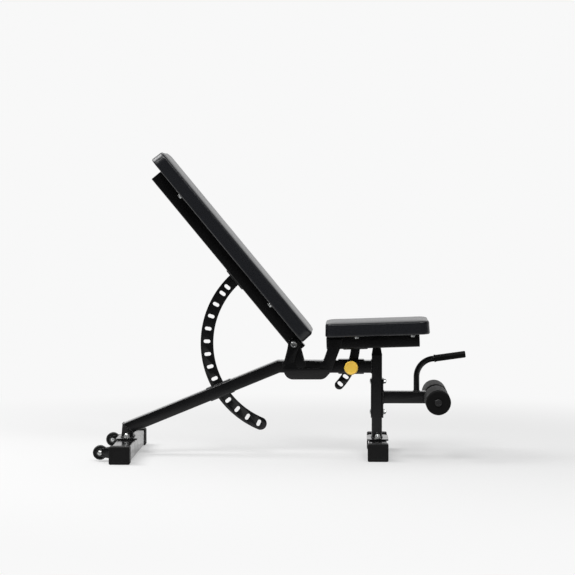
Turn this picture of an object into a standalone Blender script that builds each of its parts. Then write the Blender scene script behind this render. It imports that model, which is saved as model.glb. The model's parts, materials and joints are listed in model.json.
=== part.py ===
# Adjustable weight bench: a back that inclines and declines, a seat that tilts, a leg holder with
# foam rollers and a pull handle, standing on two cross feet with transport wheels.
#
# Lengths are in metres. +X runs from the head end to the foot end, +Y is the left side of a person
# who sits on the bench, and +Z is up. The origin is on the floor under the middle of the bench.
import math

import bmesh
import bpy
from mathutils import Vector

# ---- driving dimensions ---------------------------------------------------------------------
GAP = 0.0003              # air left between pieces that touch
HALF_LENGTH = 0.604       # from the origin to the wheel treads and to the end of the grip

PIVOT = (0.0396, 0.3683)  # X and Z of the axis that the back and the seat share
BACK_ANGLE = 50.4         # back above the horizontal, in its tenth notch
SEAT_ANGLE = 1.88         # seat above the horizontal, in its first notch

TUBE_HEIGHT = 0.040       # the spine, the back tube, the seat tube and the leg holder arm
TUBE_WALL = 0.0025
TUBE_CORNER = 0.004
SPINE_WIDTH = 0.060
SPINE_Z = 0.2930          # axis of the level part of the spine
SPINE_BEND_X = -0.0115
SPINE_SLOPE = 22.3        # fall of the spine towards the rear foot
PLATE = 0.004             # thickness of the flat steel

POST_X = 0.3116
POST_DEPTH = 0.034
POST_TOP = 0.329
POST_CAP_TOP = 0.353

FOOT_WIDTH = 0.060        # section of the cross feet along X
FOOT_HEIGHT = 0.050
CAP_WALL = 0.0035         # rubber around the ends of the feet
CAP_LENGTH = 0.040
CAP_CORNER = 0.0048       # of the rubber caps' outer edges
REAR_FOOT_X = -0.5097
REAR_FOOT_LENGTH = 0.600
FRONT_FOOT_X = 0.314
FRONT_FOOT_LENGTH = 0.400
FLANGE_LENGTH = 0.140
FLANGE_WIDTH = 0.070
FLANGE_THICKNESS = 0.005
FOOT_BOLT_Y = 0.052
BOLT_RADIUS = 0.005

WHEEL_RADIUS = 0.0233
WHEEL_WIDTH = 0.020
WHEEL_Y = 0.1975
WHEEL_Z = 0.0280
AXLE_BOLT_RADIUS = 0.004

PIVOT_BOLT_RADIUS = 0.008
CHEEK_INNER = 0.0303      # inner faces of the fixed pivot cheeks
SIDE_PLATE_INNER = 0.0353
SIDE_PLATE_THICKNESS = 0.005

BACK_TUBE_WIDTH = 0.050
BACK_TUBE_START = -0.028  # along the back, from the pivot
BACK_TUBE_END = 0.715
BACK_TUBE_AXIS = 0.0035   # height of the tube's axis over the pivot, square to the back
BACK_PAD_START = -0.012
BACK_PAD_END = 0.757
BACK_PAD_THICKNESS = 0.0478
BACK_BRACKETS = (0.1485, 0.610)

SEAT_TUBE_WIDTH = 0.070
SEAT_TUBE_START = 0.1065
SEAT_TUBE_END = 0.412
SEAT_TUBE_AXIS = -0.0018
SEAT_PAD_START = 0.1062
SEAT_PAD_END = 0.4430
SEAT_PAD_THICKNESS = 0.0482
SEAT_BRACKETS = (0.2065, 0.3898)

PAD_WIDTH = 0.260
PAD_CORNER = 0.030
BOARD_THICKNESS = 0.012
BOARD_INSET = 0.020       # vinyl turned over the edge of the board
BRACKET_LENGTH = 0.120
BRACKET_WIDTH = 0.040

LADDER_THICKNESS = 0.008
BACK_LADDER_RADIUS = 0.288
BACK_LADDER_WIDTH = 0.042
BACK_NOTCHES = [-22.0] + [8.4 * step for step in range(-2, 11)]
SEAT_LADDER_RADIUS = 0.202
SEAT_LADDER_WIDTH = 0.030
SEAT_NOTCHES = (0.0, 11.0, 19.5)
NOTCH_WIDTH = 0.0115
NOTCH_LENGTH = {"back": 0.022, "seat": 0.020}
LADDER_BASE_LENGTH = 0.080
LADDER_BASE_WIDTH = 0.040
LADDER_BASE_THICKNESS = 0.003
LADDER_CLEARANCE = 0.003  # around each ladder where it runs through the spine

PIN_RADIUS = 0.005
BARREL_RADIUS = 0.011
BARREL_END = 0.062        # distance of the barrel's mouth from the middle plane
KNOB_RADIUS = 0.0225

ROLLER_AXIS = (0.5065, 0.1920)
ROLLER_RADIUS = 0.0405
ROLLER_INNER_END = 0.021
ROLLER_OUTER_END = 0.212
ROLLER_AXLE_RADIUS = 0.010
ARM_WIDTH = 0.040
ARM_Z = 0.192
ARM_END = 0.5275
HOLDER_PLATE_Z = (0.125, 0.254)
HOLDER_BOLTS_Z = (0.143, 0.244)
BACKING_THICKNESS = 0.0025

HANDLE_X = 0.442
HANDLE_RADIUS = 0.00975
HANDLE_BEND_RADIUS = 0.060
HANDLE_BEND_Z = 0.259
HANDLE_RISE = 8.0         # slope of the grip
GRIP_RADIUS = 0.0112
GRIP_LENGTH = 0.104


# ---- finishes -------------------------------------------------------------------------------
def make_finish(name, colour, roughness, metallic=0.0):
    finish = bpy.data.materials.new(name)
    finish.use_nodes = True
    shader = finish.node_tree.nodes["Principled BSDF"]
    shader.inputs["Base Color"].default_value = (*colour, 1.0)
    shader.inputs["Roughness"].default_value = roughness
    shader.inputs["Metallic"].default_value = metallic
    finish.diffuse_color = (*colour, 1.0)
    return finish


# ---- mesh tools -----------------------------------------------------------------------------
def add_object(name, mesh, finish, parent=None):
    mesh.shade_smooth()
    mesh.set_sharp_from_angle(angle=math.radians(32))
    if finish:
        mesh.materials.append(finish)
    piece = bpy.data.objects.new(name, mesh)
    bpy.context.scene.collection.objects.link(piece)
    piece.parent = parent
    return piece


def finish_mesh(name, bm):
    bmesh.ops.recalc_face_normals(bm, faces=bm.faces[:])
    mesh = bpy.data.meshes.new(name)
    bm.to_mesh(mesh)
    bm.free()
    return mesh


def skin(name, rings, finish, closed=False, parent=None):
    # Quads between rings of equal length. The end rings are capped, or joined if closed is set.
    bm = bmesh.new()
    rows = [[bm.verts.new(point) for point in ring] for ring in rings]
    pairs = list(zip(rows, rows[1:]))
    if closed:
        pairs.append((rows[-1], rows[0]))
    else:
        bm.faces.new(rows[0])
        bm.faces.new(rows[-1])
    for low, high in pairs:
        for i in range(len(low)):
            j = (i + 1) % len(low)
            bm.faces.new((low[i], low[j], high[j], high[i]))
    return add_object(name, finish_mesh(name, bm), finish, parent)


def circle(radius, segments):
    angles = [2 * math.pi * i / segments for i in range(segments)]
    return [(radius * math.cos(angle), radius * math.sin(angle)) for angle in angles]


def turned(name, profile, finish, segments=24, closed=False, parent=None):
    # A turned piece about local Z. The profile is a list of (radius, height).
    rings = [[(x, y, height) for x, y in circle(radius, segments)] for radius, height in profile]
    return skin(name, rings, finish, closed, parent)


def rounded_rect(width, depth, radius, steps=2):
    points = []
    corners = ((1, 1, 0), (-1, 1, 90), (-1, -1, 180), (1, -1, 270))
    for side_x, side_y, start in corners:
        for step in range(steps + 1):
            angle = math.radians(start + 90 * step / steps)
            x = side_x * (width / 2 - radius) + radius * math.cos(angle)
            y = side_y * (depth / 2 - radius) + radius * math.sin(angle)
            points.append((x, y))
    return points


def level_ring(width, depth, radius, z, x=0.0, steps=2):
    return [(x + px, py, z) for px, py in rounded_rect(width, depth, radius, steps)]


def upright_ring(height, width, radius, x, z):
    return [(x, py, z + pz) for pz, py in rounded_rect(height, width, radius)]


def swept_rings(path, section):
    # One ring at each point of a path in the XZ plane, mitred at its corners. A section point is
    # (offset square to the path, Y).
    rings = []
    for i, point in enumerate(path):
        ends = [path[max(i - 1, 0):max(i - 1, 0) + 2], path[min(i, len(path) - 2):][:2]]
        normals = []
        for start, end in ends:
            run = Vector((end[0] - start[0], end[1] - start[1])).normalized()
            normals.append(Vector((-run.y, run.x)))
        mitre = (normals[0] + normals[1]) / (1 + normals[0].dot(normals[1]))
        rings.append([(point[0] + a * mitre.x, y, point[1] + a * mitre.y) for a, y in section])
    return rings


def hollow_sweep(name, path, outer, inner, finish, parent=None):
    rings = swept_rings(path, outer) + swept_rings(path, inner)[::-1]
    return skin(name, rings, finish, closed=True, parent=parent)


def plate(name, outline, thickness, finish, holes=(), parent=None):
    # A flat plate: the outline and its holes are (X, Z) loops, and Y is the thickness, centred.
    bm = bmesh.new()
    for loop in (outline, *holes):
        verts = [bm.verts.new((x, -thickness / 2, z)) for x, z in loop]
        for first, second in zip(verts, verts[1:] + verts[:1]):
            bm.edges.new((first, second))
    bmesh.ops.triangle_fill(bm, use_beauty=True, use_dissolve=False, edges=bm.edges[:])
    grown = bmesh.ops.extrude_face_region(bm, geom=bm.faces[:])["geom"]
    moved = [item for item in grown if isinstance(item, bmesh.types.BMVert)]
    bmesh.ops.translate(bm, vec=(0, thickness, 0), verts=moved)
    return add_object(name, finish_mesh(name, bm), finish, parent)


def rounded_outline(corners, steps=3):
    # A polygon of (X, Z, radius) corners with each corner rounded by an arc.
    points = []
    for i, (x, z, radius) in enumerate(corners):
        corner = Vector((x, z))
        before = (Vector(corners[i - 1][:2]) - corner).normalized()
        after = (Vector(corners[(i + 1) % len(corners)][:2]) - corner).normalized()
        half = before.angle(after) / 2
        if radius == 0:
            points.append((x, z))
            continue
        centre = corner + (before + after).normalized() * (radius / math.sin(half))
        first = corner + before * (radius / math.tan(half)) - centre
        last = corner + after * (radius / math.tan(half)) - centre
        turn = first.angle_signed(last)
        for step in range(steps + 1):
            angle = -turn * step / steps
            cos, sin = math.cos(angle), math.sin(angle)
            points.append((centre.x + first.x * cos - first.y * sin,
                           centre.y + first.x * sin + first.y * cos))
    return points


def arc(radius, start, end, steps, centre=(0.0, 0.0)):
    points = []
    for step in range(steps + 1):
        angle = math.radians(start + (end - start) * step / steps)
        points.append((centre[0] + radius * math.cos(angle), centre[1] + radius * math.sin(angle)))
    return points


def hole(x, z, radius, segments=16):
    return [(x + dx, z + dz) for dx, dz in circle(radius, segments)]


def rods(name, places, radius, length, rotation=(0, 0, 0), parent=None, sides=12):
    # A cutter of parallel rods along local Z, each centred on one place in the XY plane.
    bm = bmesh.new()
    for x, y in places:
        low = [bm.verts.new((x + dx, y + dy, -length / 2)) for dx, dy in circle(radius, sides)]
        high = [bm.verts.new((x + dx, y + dy, length / 2)) for dx, dy in circle(radius, sides)]
        bm.faces.new(low)
        bm.faces.new(high)
        for i in range(sides):
            j = (i + 1) % sides
            bm.faces.new((low[i], low[j], high[j], high[i]))
    cutter = add_object(name, finish_mesh(name, bm), None, parent)
    cutter.rotation_euler = rotation
    return cutter


def combine(target, tool, operation):
    tool.hide_render = True
    tool.display_type = "WIRE"
    modifier = target.modifiers.new(tool.name, "BOOLEAN")
    modifier.operation = operation
    modifier.solver = "EXACT"
    modifier.object = tool


def place(piece, x=0.0, y=0.0, z=0.0, rotation=(0, 0, 0)):
    piece.location = (x, y, z)
    piece.rotation_euler = rotation


# Local Z turned to the left, to the right and to the front.
LEFT = (-math.pi / 2, 0, 0)
RIGHT = (math.pi / 2, 0, 0)
FRONT = (0, math.pi / 2, 0)
SIDES = (("left", 1, LEFT), ("right", -1, RIGHT))

for old in list(bpy.data.objects):
    bpy.data.objects.remove(old, do_unlink=True)

POWDER_COAT = make_finish("black_powder_coat", (0.012, 0.012, 0.013), 0.42)
VINYL = make_finish("black_vinyl", (0.014, 0.015, 0.018), 0.5)
RUBBER = make_finish("black_rubber", (0.016, 0.016, 0.016), 0.75)
FOAM = make_finish("roller_foam", (0.010, 0.010, 0.011), 0.85)
ZINC = make_finish("zinc_plate", (0.62, 0.63, 0.64), 0.3, 1.0)
YELLOW = make_finish("yellow_knob_plastic", (0.79, 0.45, 0.05), 0.4)
NYLON = make_finish("black_nylon", (0.02, 0.02, 0.021), 0.55)
BOARD = make_finish("board_backing", (0.02, 0.02, 0.02), 0.9)


# ---- the two hinged groups ------------------------------------------------------------------
def hinge_empty(name, rotation):
    empty = bpy.data.objects.new(name, None)
    bpy.context.scene.collection.objects.link(empty)
    place(empty, PIVOT[0], 0.0, PIVOT[1], rotation)
    return empty


# In the back's own frame +X runs up the back and +Z points out of the pad. In the seat's own frame
# +X runs to the front and +Z points out of the pad. Both start at the pivot.
BACK = hinge_empty("back_hinge", (0, -math.radians(BACK_ANGLE), math.pi))
SEAT = hinge_empty("seat_hinge", (0, -math.radians(SEAT_ANGLE), 0))


# ---- where each ladder meets the spine ------------------------------------------------------
def back_lock_angle():
    # Angle below -X at which the back ladder crosses the axis of the sloping spine.
    slope = math.radians(SPINE_SLOPE)
    reach = PIVOT[0] - SPINE_BEND_X
    rise = PIVOT[1] - SPINE_Z
    distance = rise * math.cos(slope) - reach * math.sin(slope)
    return SPINE_SLOPE + math.degrees(math.asin(distance / BACK_LADDER_RADIUS))


def seat_lock_angle():
    return math.degrees(math.asin((PIVOT[1] - SPINE_Z) / SEAT_LADDER_RADIUS))


BACK_LOCK = back_lock_angle()
SEAT_LOCK = seat_lock_angle()
BACK_LOCK_X = PIVOT[0] - BACK_LADDER_RADIUS * math.cos(math.radians(BACK_LOCK))
BACK_LOCK_Z = PIVOT[1] - BACK_LADDER_RADIUS * math.sin(math.radians(BACK_LOCK))
SEAT_LOCK_X = PIVOT[0] + SEAT_LADDER_RADIUS * math.cos(math.radians(SEAT_LOCK))

CAP_TOP = FOOT_HEIGHT + 2 * CAP_WALL
FOOT_Z = CAP_TOP / 2
FLANGE_BOTTOM = FOOT_Z + FOOT_HEIGHT / 2 + GAP
FLANGE_TOP = FLANGE_BOTTOM + FLANGE_THICKNESS
LEG_BOTTOM_X = REAR_FOOT_X - 0.001
LEG_TOP_X = REAR_FOOT_X + 0.002
SPINE_FRONT_X = POST_X - POST_DEPTH / 2 - GAP
SPINE_SECTION = rounded_rect(TUBE_HEIGHT, SPINE_WIDTH, TUBE_CORNER)
SPINE_BORE = rounded_rect(TUBE_HEIGHT - 2 * TUBE_WALL, SPINE_WIDTH - 2 * TUBE_WALL, TUBE_WALL)


def spine_path():
    corner_z = SPINE_Z - (SPINE_BEND_X - LEG_TOP_X) * math.tan(math.radians(SPINE_SLOPE))
    front = (SPINE_FRONT_X, SPINE_Z)
    bend = (SPINE_BEND_X, SPINE_Z)
    return [front, bend, (LEG_TOP_X, corner_z), (LEG_BOTTOM_X, FLANGE_TOP)]


# ---- frame ----------------------------------------------------------------------------------
def build_spine():
    outer = swept_rings(spine_path(), SPINE_SECTION)[:3]
    inner = swept_rings(spine_path(), SPINE_BORE)[:3]
    spine = skin("main_tube", outer + inner[::-1], POWDER_COAT, closed=True)

    guides = (("back", BACK_LOCK_X, BACK_LOCK_Z, SPINE_SLOPE, 0.003),
              ("seat", SEAT_LOCK_X, SPINE_Z, 0.0, PLATE))
    for label, x, z, slope, thickness in guides:
        for side in (1, -1):
            offset = side * (TUBE_HEIGHT / 2 + thickness / 2 - 0.0005)
            turn = math.radians(slope)
            ring = rounded_rect(LADDER_BASE_LENGTH + 0.004, LADDER_BASE_WIDTH, 0.006)
            rings = [[(px, py, pz) for px, py in ring]
                     for pz in (-thickness / 2 - 0.0005, thickness / 2 + 0.0005)]
            guide = skin(f"{label}_guide_{side}", rings, POWDER_COAT)
            place(guide, x - offset * math.sin(turn), 0.0, z + offset * math.cos(turn), (0, -turn, 0))
            combine(spine, guide, "UNION")

    paths = (("back", BACK_LADDER_RADIUS, BACK_LADDER_WIDTH, 180 + BACK_LOCK),
             ("seat", SEAT_LADDER_RADIUS, SEAT_LADDER_WIDTH, 360 - SEAT_LOCK))
    for label, radius, width, middle in paths:
        reach = width / 2 + LADDER_CLEARANCE
        sweep = 18.0
        outline = (arc(radius + reach, middle - sweep, middle + sweep, 16)
                   + arc(radius - reach, middle + sweep, middle - sweep, 16))
        slot = plate(f"{label}_ladder_way", outline, LADDER_THICKNESS + LADDER_CLEARANCE, None)
        place(slot, PIVOT[0], 0.0, PIVOT[1])
        combine(spine, slot, "DIFFERENCE")

    for side, x, z in ((1, BACK_LOCK_X, BACK_LOCK_Z), (-1, SEAT_LOCK_X, SPINE_Z)):
        way = rods(f"pin_way_{side}", [(0, 0)], PIN_RADIUS + 2 * GAP, 0.020, LEFT)
        place(way, x, side * SPINE_WIDTH / 2, z, LEFT)
        combine(spine, way, "DIFFERENCE")


def flanged_rings(top_outer, top_inner, width, depth, x):
    # A hollow leg that widens into its flange at the bottom.
    bore = 2 * TUBE_WALL
    return [top_outer,
            level_ring(width, depth, TUBE_CORNER, FLANGE_TOP, x),
            level_ring(FLANGE_WIDTH, FLANGE_LENGTH, 0.008, FLANGE_TOP, x),
            level_ring(FLANGE_WIDTH, FLANGE_LENGTH, 0.008, FLANGE_BOTTOM, x),
            level_ring(width - bore, depth - bore, TUBE_WALL, FLANGE_BOTTOM, x),
            top_inner]


def drill_flange(leg, label, x):
    drill = rods(f"{label}_flange_holes", [(x, -FOOT_BOLT_Y), (x, FOOT_BOLT_Y)],
                 BOLT_RADIUS + GAP, 0.030)
    place(drill, 0.0, 0.0, FLANGE_TOP)
    combine(leg, drill, "DIFFERENCE")


def build_rear_leg():
    down = Vector((0, 0, -2 * GAP))
    outer = swept_rings(spine_path(), SPINE_SECTION)[2]
    inner = swept_rings(spine_path(), SPINE_BORE)[2]
    rings = flanged_rings([Vector(point) + down for point in outer],
                          [Vector(point) + down for point in inner],
                          TUBE_HEIGHT, SPINE_WIDTH, LEG_BOTTOM_X)
    leg = skin("rear_leg", rings, POWDER_COAT, closed=True)
    drill_flange(leg, "rear", REAR_FOOT_X)


def build_front_post():
    bore = 2 * TUBE_WALL
    rings = flanged_rings(
        level_ring(POST_DEPTH, SPINE_WIDTH, TUBE_CORNER, POST_TOP, POST_X),
        level_ring(POST_DEPTH - bore, SPINE_WIDTH - bore, TUBE_WALL, POST_TOP, POST_X),
        POST_DEPTH, SPINE_WIDTH, POST_X)
    post = skin("front_post", rings, POWDER_COAT, closed=True)
    drill_flange(post, "front", FRONT_FOOT_X)
    drill = rods("post_holes", [(-z, 0) for z in HOLDER_BOLTS_Z], BOLT_RADIUS + GAP, 0.060)
    place(drill, POST_X, 0.0, 0.0, FRONT)
    combine(post, drill, "DIFFERENCE")

    # The cap's shoulder rests on the tube and its skirt fills the bore.
    skirt = TUBE_WALL + GAP
    shoulder = POST_TOP + GAP
    sizes = ((2 * skirt, TUBE_WALL, POST_TOP - 0.018),
             (2 * skirt, TUBE_WALL, shoulder),
             (0.0, TUBE_CORNER, shoulder),
             (0.001, 0.005, shoulder + 0.004),
             (0.0055, 0.006, POST_CAP_TOP - 0.003),
             (0.0085, 0.005, POST_CAP_TOP))
    rings = [level_ring(POST_DEPTH - less, SPINE_WIDTH - less, radius, z, POST_X)
             for less, radius, z in sizes]
    skin("front_post_cap", rings, RUBBER)


def build_foot(label, x, length):
    tube_half = length / 2 - CAP_WALL - GAP
    bore = 2 * TUBE_WALL
    rings = [level_ring(FOOT_WIDTH - less, FOOT_HEIGHT - less, radius, z)
             for less, radius, z in ((0, TUBE_CORNER, -tube_half), (0, TUBE_CORNER, tube_half),
                                     (bore, TUBE_WALL, tube_half), (bore, TUBE_WALL, -tube_half))]
    tube = skin(f"{label}_foot_tube", rings, POWDER_COAT, closed=True)
    place(tube, x, 0.0, FOOT_Z, LEFT)
    drill = rods(f"{label}_foot_holes", [(x, -FOOT_BOLT_Y), (x, FOOT_BOLT_Y)],
                 BOLT_RADIUS + GAP, 0.120)
    place(drill, 0.0, 0.0, FOOT_Z)
    combine(tube, drill, "DIFFERENCE")

    mouth = length / 2 - CAP_LENGTH
    floor = length / 2 - CAP_WALL
    inside = -2 * GAP
    outside = -2 * CAP_WALL
    sizes = ((inside, TUBE_CORNER, floor), (inside, TUBE_CORNER, mouth), (outside, CAP_CORNER, mouth),
             (outside, CAP_CORNER, length / 2 - 0.0015),
             (outside + 0.003, CAP_CORNER - 0.001, length / 2))
    rings = [level_ring(FOOT_WIDTH - less, FOOT_HEIGHT - less, radius, z, steps=3)
             for less, radius, z in sizes]
    for side, sign, rotation in SIDES:
        cap = skin(f"{label}_foot_cap_{side}", rings, RUBBER)
        place(cap, x, 0.0, FOOT_Z, rotation)

    # A coach bolt comes up through the foot and the flange into a domed nut.
    head_bottom = 0.0007
    nut = FLANGE_TOP + GAP
    profile = [(0.009, head_bottom), (0.010, head_bottom + 0.001), (0.010, CAP_WALL - GAP),
               (BOLT_RADIUS, CAP_WALL - GAP), (BOLT_RADIUS, nut), (0.0105, nut),
               (0.0105, nut + 0.0015), (0.0092, nut + 0.0015), (0.0092, nut + 0.009),
               (0.0065, nut + 0.014), (0.0025, nut + 0.0162)]
    for side, sign, rotation in SIDES:
        bolt = turned(f"{label}_foot_bolt_{side}", profile, ZINC, 12)
        place(bolt, x, sign * FOOT_BOLT_Y, 0.0)


def build_cheeks():
    base = (-0.0366, 0.0370)
    low = -0.084
    eye = 0.0198
    outline = arc(eye, -14, 194, 12) + [(base[0], low + 0.012), (base[0] + 0.004, low),
                                       (base[1] - 0.004, low), (base[1], low + 0.012)]
    for side, sign, rotation in SIDES:
        cheek = plate(f"pivot_cheek_{side}", outline, PLATE, POWDER_COAT,
                      [hole(0, 0, PIVOT_BOLT_RADIUS + GAP, 20)])
        place(cheek, PIVOT[0], sign * (CHEEK_INNER + PLATE / 2), PIVOT[1])


def build_pivot_bolt():
    outside = SIDE_PLATE_INNER + SIDE_PLATE_THICKNESS + GAP
    nut_end = outside + 0.009
    profile = [(PIVOT_BOLT_RADIUS, -nut_end - 0.003), (PIVOT_BOLT_RADIUS, outside),
               (0.0125, outside), (0.0125, outside + 0.0015), (0.0102, outside + 0.0015),
               (0.0102, outside + 0.008), (0.0085, outside + 0.010), (0.0045, outside + 0.010),
               (0.0045, outside + 0.006)]
    bolt = turned("pivot_bolt", profile, ZINC, 20)
    place(bolt, PIVOT[0], 0.0, PIVOT[1], RIGHT)
    bore = PIVOT_BOLT_RADIUS + GAP
    nut = turned("pivot_nut", [(bore, outside), (0.0125, outside), (0.0125, nut_end - 0.001),
                               (0.0115, nut_end), (bore, nut_end)], ZINC, 20, closed=True)
    place(nut, PIVOT[0], 0.0, PIVOT[1], LEFT)


def build_leg_holder():
    plate_back = POST_X + POST_DEPTH / 2 + GAP
    plate_front = plate_back + PLATE
    plate_middle = sum(HOLDER_PLATE_Z) / 2
    plate_height = HOLDER_PLATE_Z[1] - HOLDER_PLATE_Z[0]
    bore = TUBE_HEIGHT - 2 * TUBE_WALL
    rings = [upright_ring(TUBE_HEIGHT, ARM_WIDTH, TUBE_CORNER, ARM_END, ARM_Z),
             upright_ring(TUBE_HEIGHT, ARM_WIDTH, TUBE_CORNER, plate_front, ARM_Z),
             upright_ring(plate_height, SPINE_WIDTH, 0.004, plate_front, plate_middle),
             upright_ring(plate_height, SPINE_WIDTH, 0.004, plate_back, plate_middle),
             upright_ring(bore, ARM_WIDTH - 2 * TUBE_WALL, TUBE_WALL, plate_back, ARM_Z),
             upright_ring(bore, ARM_WIDTH - 2 * TUBE_WALL, TUBE_WALL, ARM_END, ARM_Z)]
    arm = skin("leg_holder_arm", rings, POWDER_COAT, closed=True)
    axle_way = rods("axle_way", [(0, 0)], ROLLER_AXLE_RADIUS + 2 * GAP, 0.080, LEFT)
    place(axle_way, ROLLER_AXIS[0], 0.0, ROLLER_AXIS[1], LEFT)
    combine(arm, axle_way, "DIFFERENCE")
    bolt_way = rods("arm_bolt_holes", [(-z, 0) for z in HOLDER_BOLTS_Z], BOLT_RADIUS + GAP, 0.020)
    place(bolt_way, plate_front, 0.0, 0.0, FRONT)
    combine(arm, bolt_way, "DIFFERENCE")

    backing_front = POST_X - POST_DEPTH / 2 - GAP
    backing_back = backing_front - BACKING_THICKNESS
    rings = [upright_ring(plate_height, SPINE_WIDTH, 0.004, x, plate_middle)
             for x in (backing_back, backing_front)]
    backing = skin("leg_holder_backing_plate", rings, POWDER_COAT)
    backing_holes = rods("backing_holes", [(-z, 0) for z in HOLDER_BOLTS_Z],
                         BOLT_RADIUS + GAP, 0.020)
    place(backing_holes, backing_back, 0.0, 0.0, FRONT)
    combine(backing, backing_holes, "DIFFERENCE")

    head = backing_back - GAP
    nut = plate_front + GAP
    profile = [(0.004, head - 0.0036), (0.0075, head - 0.0026), (0.009, head - 0.0008),
               (0.009, head), (BOLT_RADIUS, head), (BOLT_RADIUS, nut), (0.0077, nut),
               (0.0077, nut + 0.0065), (BOLT_RADIUS, nut + 0.0065), (BOLT_RADIUS, nut + 0.0095)]
    for label, z in zip(("lower", "upper"), HOLDER_BOLTS_Z):
        bolt = turned(f"leg_holder_bolt_{label}", profile, ZINC, 12)
        place(bolt, 0.0, 0.0, z, FRONT)

    axle_half = ROLLER_OUTER_END + 0.0015
    bore = ROLLER_AXLE_RADIUS - 0.002
    axle = turned("roller_axle", [(ROLLER_AXLE_RADIUS, -axle_half), (ROLLER_AXLE_RADIUS, axle_half),
                                  (bore, axle_half), (bore, -axle_half)], POWDER_COAT, 20, True)
    place(axle, ROLLER_AXIS[0], 0.0, ROLLER_AXIS[1], LEFT)
    cap_end = axle_half + GAP
    cap_profile = [(bore - GAP, axle_half - 0.014), (bore - GAP, cap_end), (0.0115, cap_end),
                   (0.0115, cap_end + 0.0015), (0.0095, cap_end + 0.0032)]
    roller_profile = [(ROLLER_AXLE_RADIUS + GAP, ROLLER_INNER_END),
                      (ROLLER_RADIUS - 0.005, ROLLER_INNER_END),
                      (ROLLER_RADIUS - 0.0015, ROLLER_INNER_END + 0.0015),
                      (ROLLER_RADIUS, ROLLER_INNER_END + 0.005),
                      (ROLLER_RADIUS, ROLLER_OUTER_END - 0.005),
                      (ROLLER_RADIUS - 0.0015, ROLLER_OUTER_END - 0.0015),
                      (ROLLER_RADIUS - 0.005, ROLLER_OUTER_END),
                      (ROLLER_AXLE_RADIUS + GAP, ROLLER_OUTER_END)]
    for side, sign, rotation in SIDES:
        cap = turned(f"roller_end_cap_{side}", cap_profile, NYLON, 20)
        place(cap, ROLLER_AXIS[0], 0.0, ROLLER_AXIS[1], rotation)
        roller = turned(f"foam_roller_{side}", roller_profile, FOAM, 28, closed=True)
        place(roller, ROLLER_AXIS[0], 0.0, ROLLER_AXIS[1], rotation)


def build_handle():
    rise = math.radians(HANDLE_RISE)
    centre = (HANDLE_X + HANDLE_BEND_RADIUS, HANDLE_BEND_Z)
    bend = arc(HANDLE_BEND_RADIUS, 180, 90 + HANDLE_RISE, 6, centre)
    along = Vector((math.cos(rise), math.sin(rise)))
    reach = (HALF_LENGTH - GRIP_RADIUS * math.sin(rise) - bend[-1][0]) / along.x
    tube_end = Vector(bend[-1]) + along * (reach - 0.003 - GAP)
    foot = (HANDLE_X, ARM_Z + TUBE_HEIGHT / 2 + GAP)
    hollow_sweep("handle_tube", [foot] + bend + [tuple(tube_end)],
                 circle(HANDLE_RADIUS, 12), circle(HANDLE_RADIUS - 0.002, 12), POWDER_COAT)

    bore = HANDLE_RADIUS + GAP
    profile = [(bore, GRIP_LENGTH - 0.003), (bore, 0.0), (GRIP_RADIUS + 0.0008, 0.0),
               (GRIP_RADIUS + 0.0008, 0.004), (GRIP_RADIUS, 0.006),
               (GRIP_RADIUS, GRIP_LENGTH - 0.001), (GRIP_RADIUS - 0.001, GRIP_LENGTH)]
    grip = turned("handle_grip", profile, RUBBER, 20)
    start = Vector(bend[-1]) + along * (reach - GRIP_LENGTH)
    place(grip, start.x, 0.0, start.y, (0, math.pi / 2 - rise, 0))


def build_wheels():
    wheel_x = -HALF_LENGTH + WHEEL_RADIUS
    bore = AXLE_BOLT_RADIUS + GAP
    half = WHEEL_WIDTH / 2
    wheel_profile = [(bore, -half), (0.009, -half), (0.0105, -half + 0.002),
                     (0.016, -half + 0.002), (0.0175, -half), (WHEEL_RADIUS - 0.002, -half),
                     (WHEEL_RADIUS, -half + 0.002), (WHEEL_RADIUS, half - 0.002),
                     (WHEEL_RADIUS - 0.002, half), (0.0175, half), (0.016, half - 0.002),
                     (0.0105, half - 0.002), (0.009, half), (bore, half)]

    # The fork: a channel in plan, trimmed to the side view of its two arms.
    foot_face = REAR_FOOT_X - FOOT_WIDTH / 2 - GAP - wheel_x
    inner = half + 0.001
    outer = inner + PLATE
    tip = -0.020
    plan = [(foot_face, -outer), (foot_face, outer), (tip, outer), (tip, inner),
            (foot_face - PLATE, inner), (foot_face - PLATE, -inner), (tip, -inner), (tip, -outer)]
    side_view = (arc(0.0125, 110, 250, 8)
                 + [(foot_face + 0.001, -0.0195), (foot_face + 0.001, 0.0185)])

    outside = outer + GAP
    bolt_profile = [(AXLE_BOLT_RADIUS, -outside - 0.008), (AXLE_BOLT_RADIUS, outside),
                    (0.0075, outside), (0.0075, outside + 0.004), (0.0055, outside + 0.0052),
                    (0.003, outside + 0.0052), (0.003, outside + 0.003)]
    for side, sign, rotation in SIDES:
        y = sign * WHEEL_Y
        wheel = turned(f"wheel_{side}", wheel_profile, RUBBER, 24, closed=True)
        place(wheel, wheel_x, y, WHEEL_Z, rotation)
        fork = skin(f"wheel_bracket_{side}", [[(x, py, z) for x, py in plan]
                                              for z in (-0.024, 0.024)], POWDER_COAT)
        place(fork, wheel_x, y, WHEEL_Z)
        trim = plate(f"fork_trim_{side}", side_view, 0.060, None, [hole(0, 0, bore, 16)])
        place(trim, wheel_x, y, WHEEL_Z)
        combine(fork, trim, "INTERSECT")
        bolt = turned(f"wheel_bolt_{side}", bolt_profile, ZINC, 12)
        place(bolt, wheel_x, y, WHEEL_Z, rotation)


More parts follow.
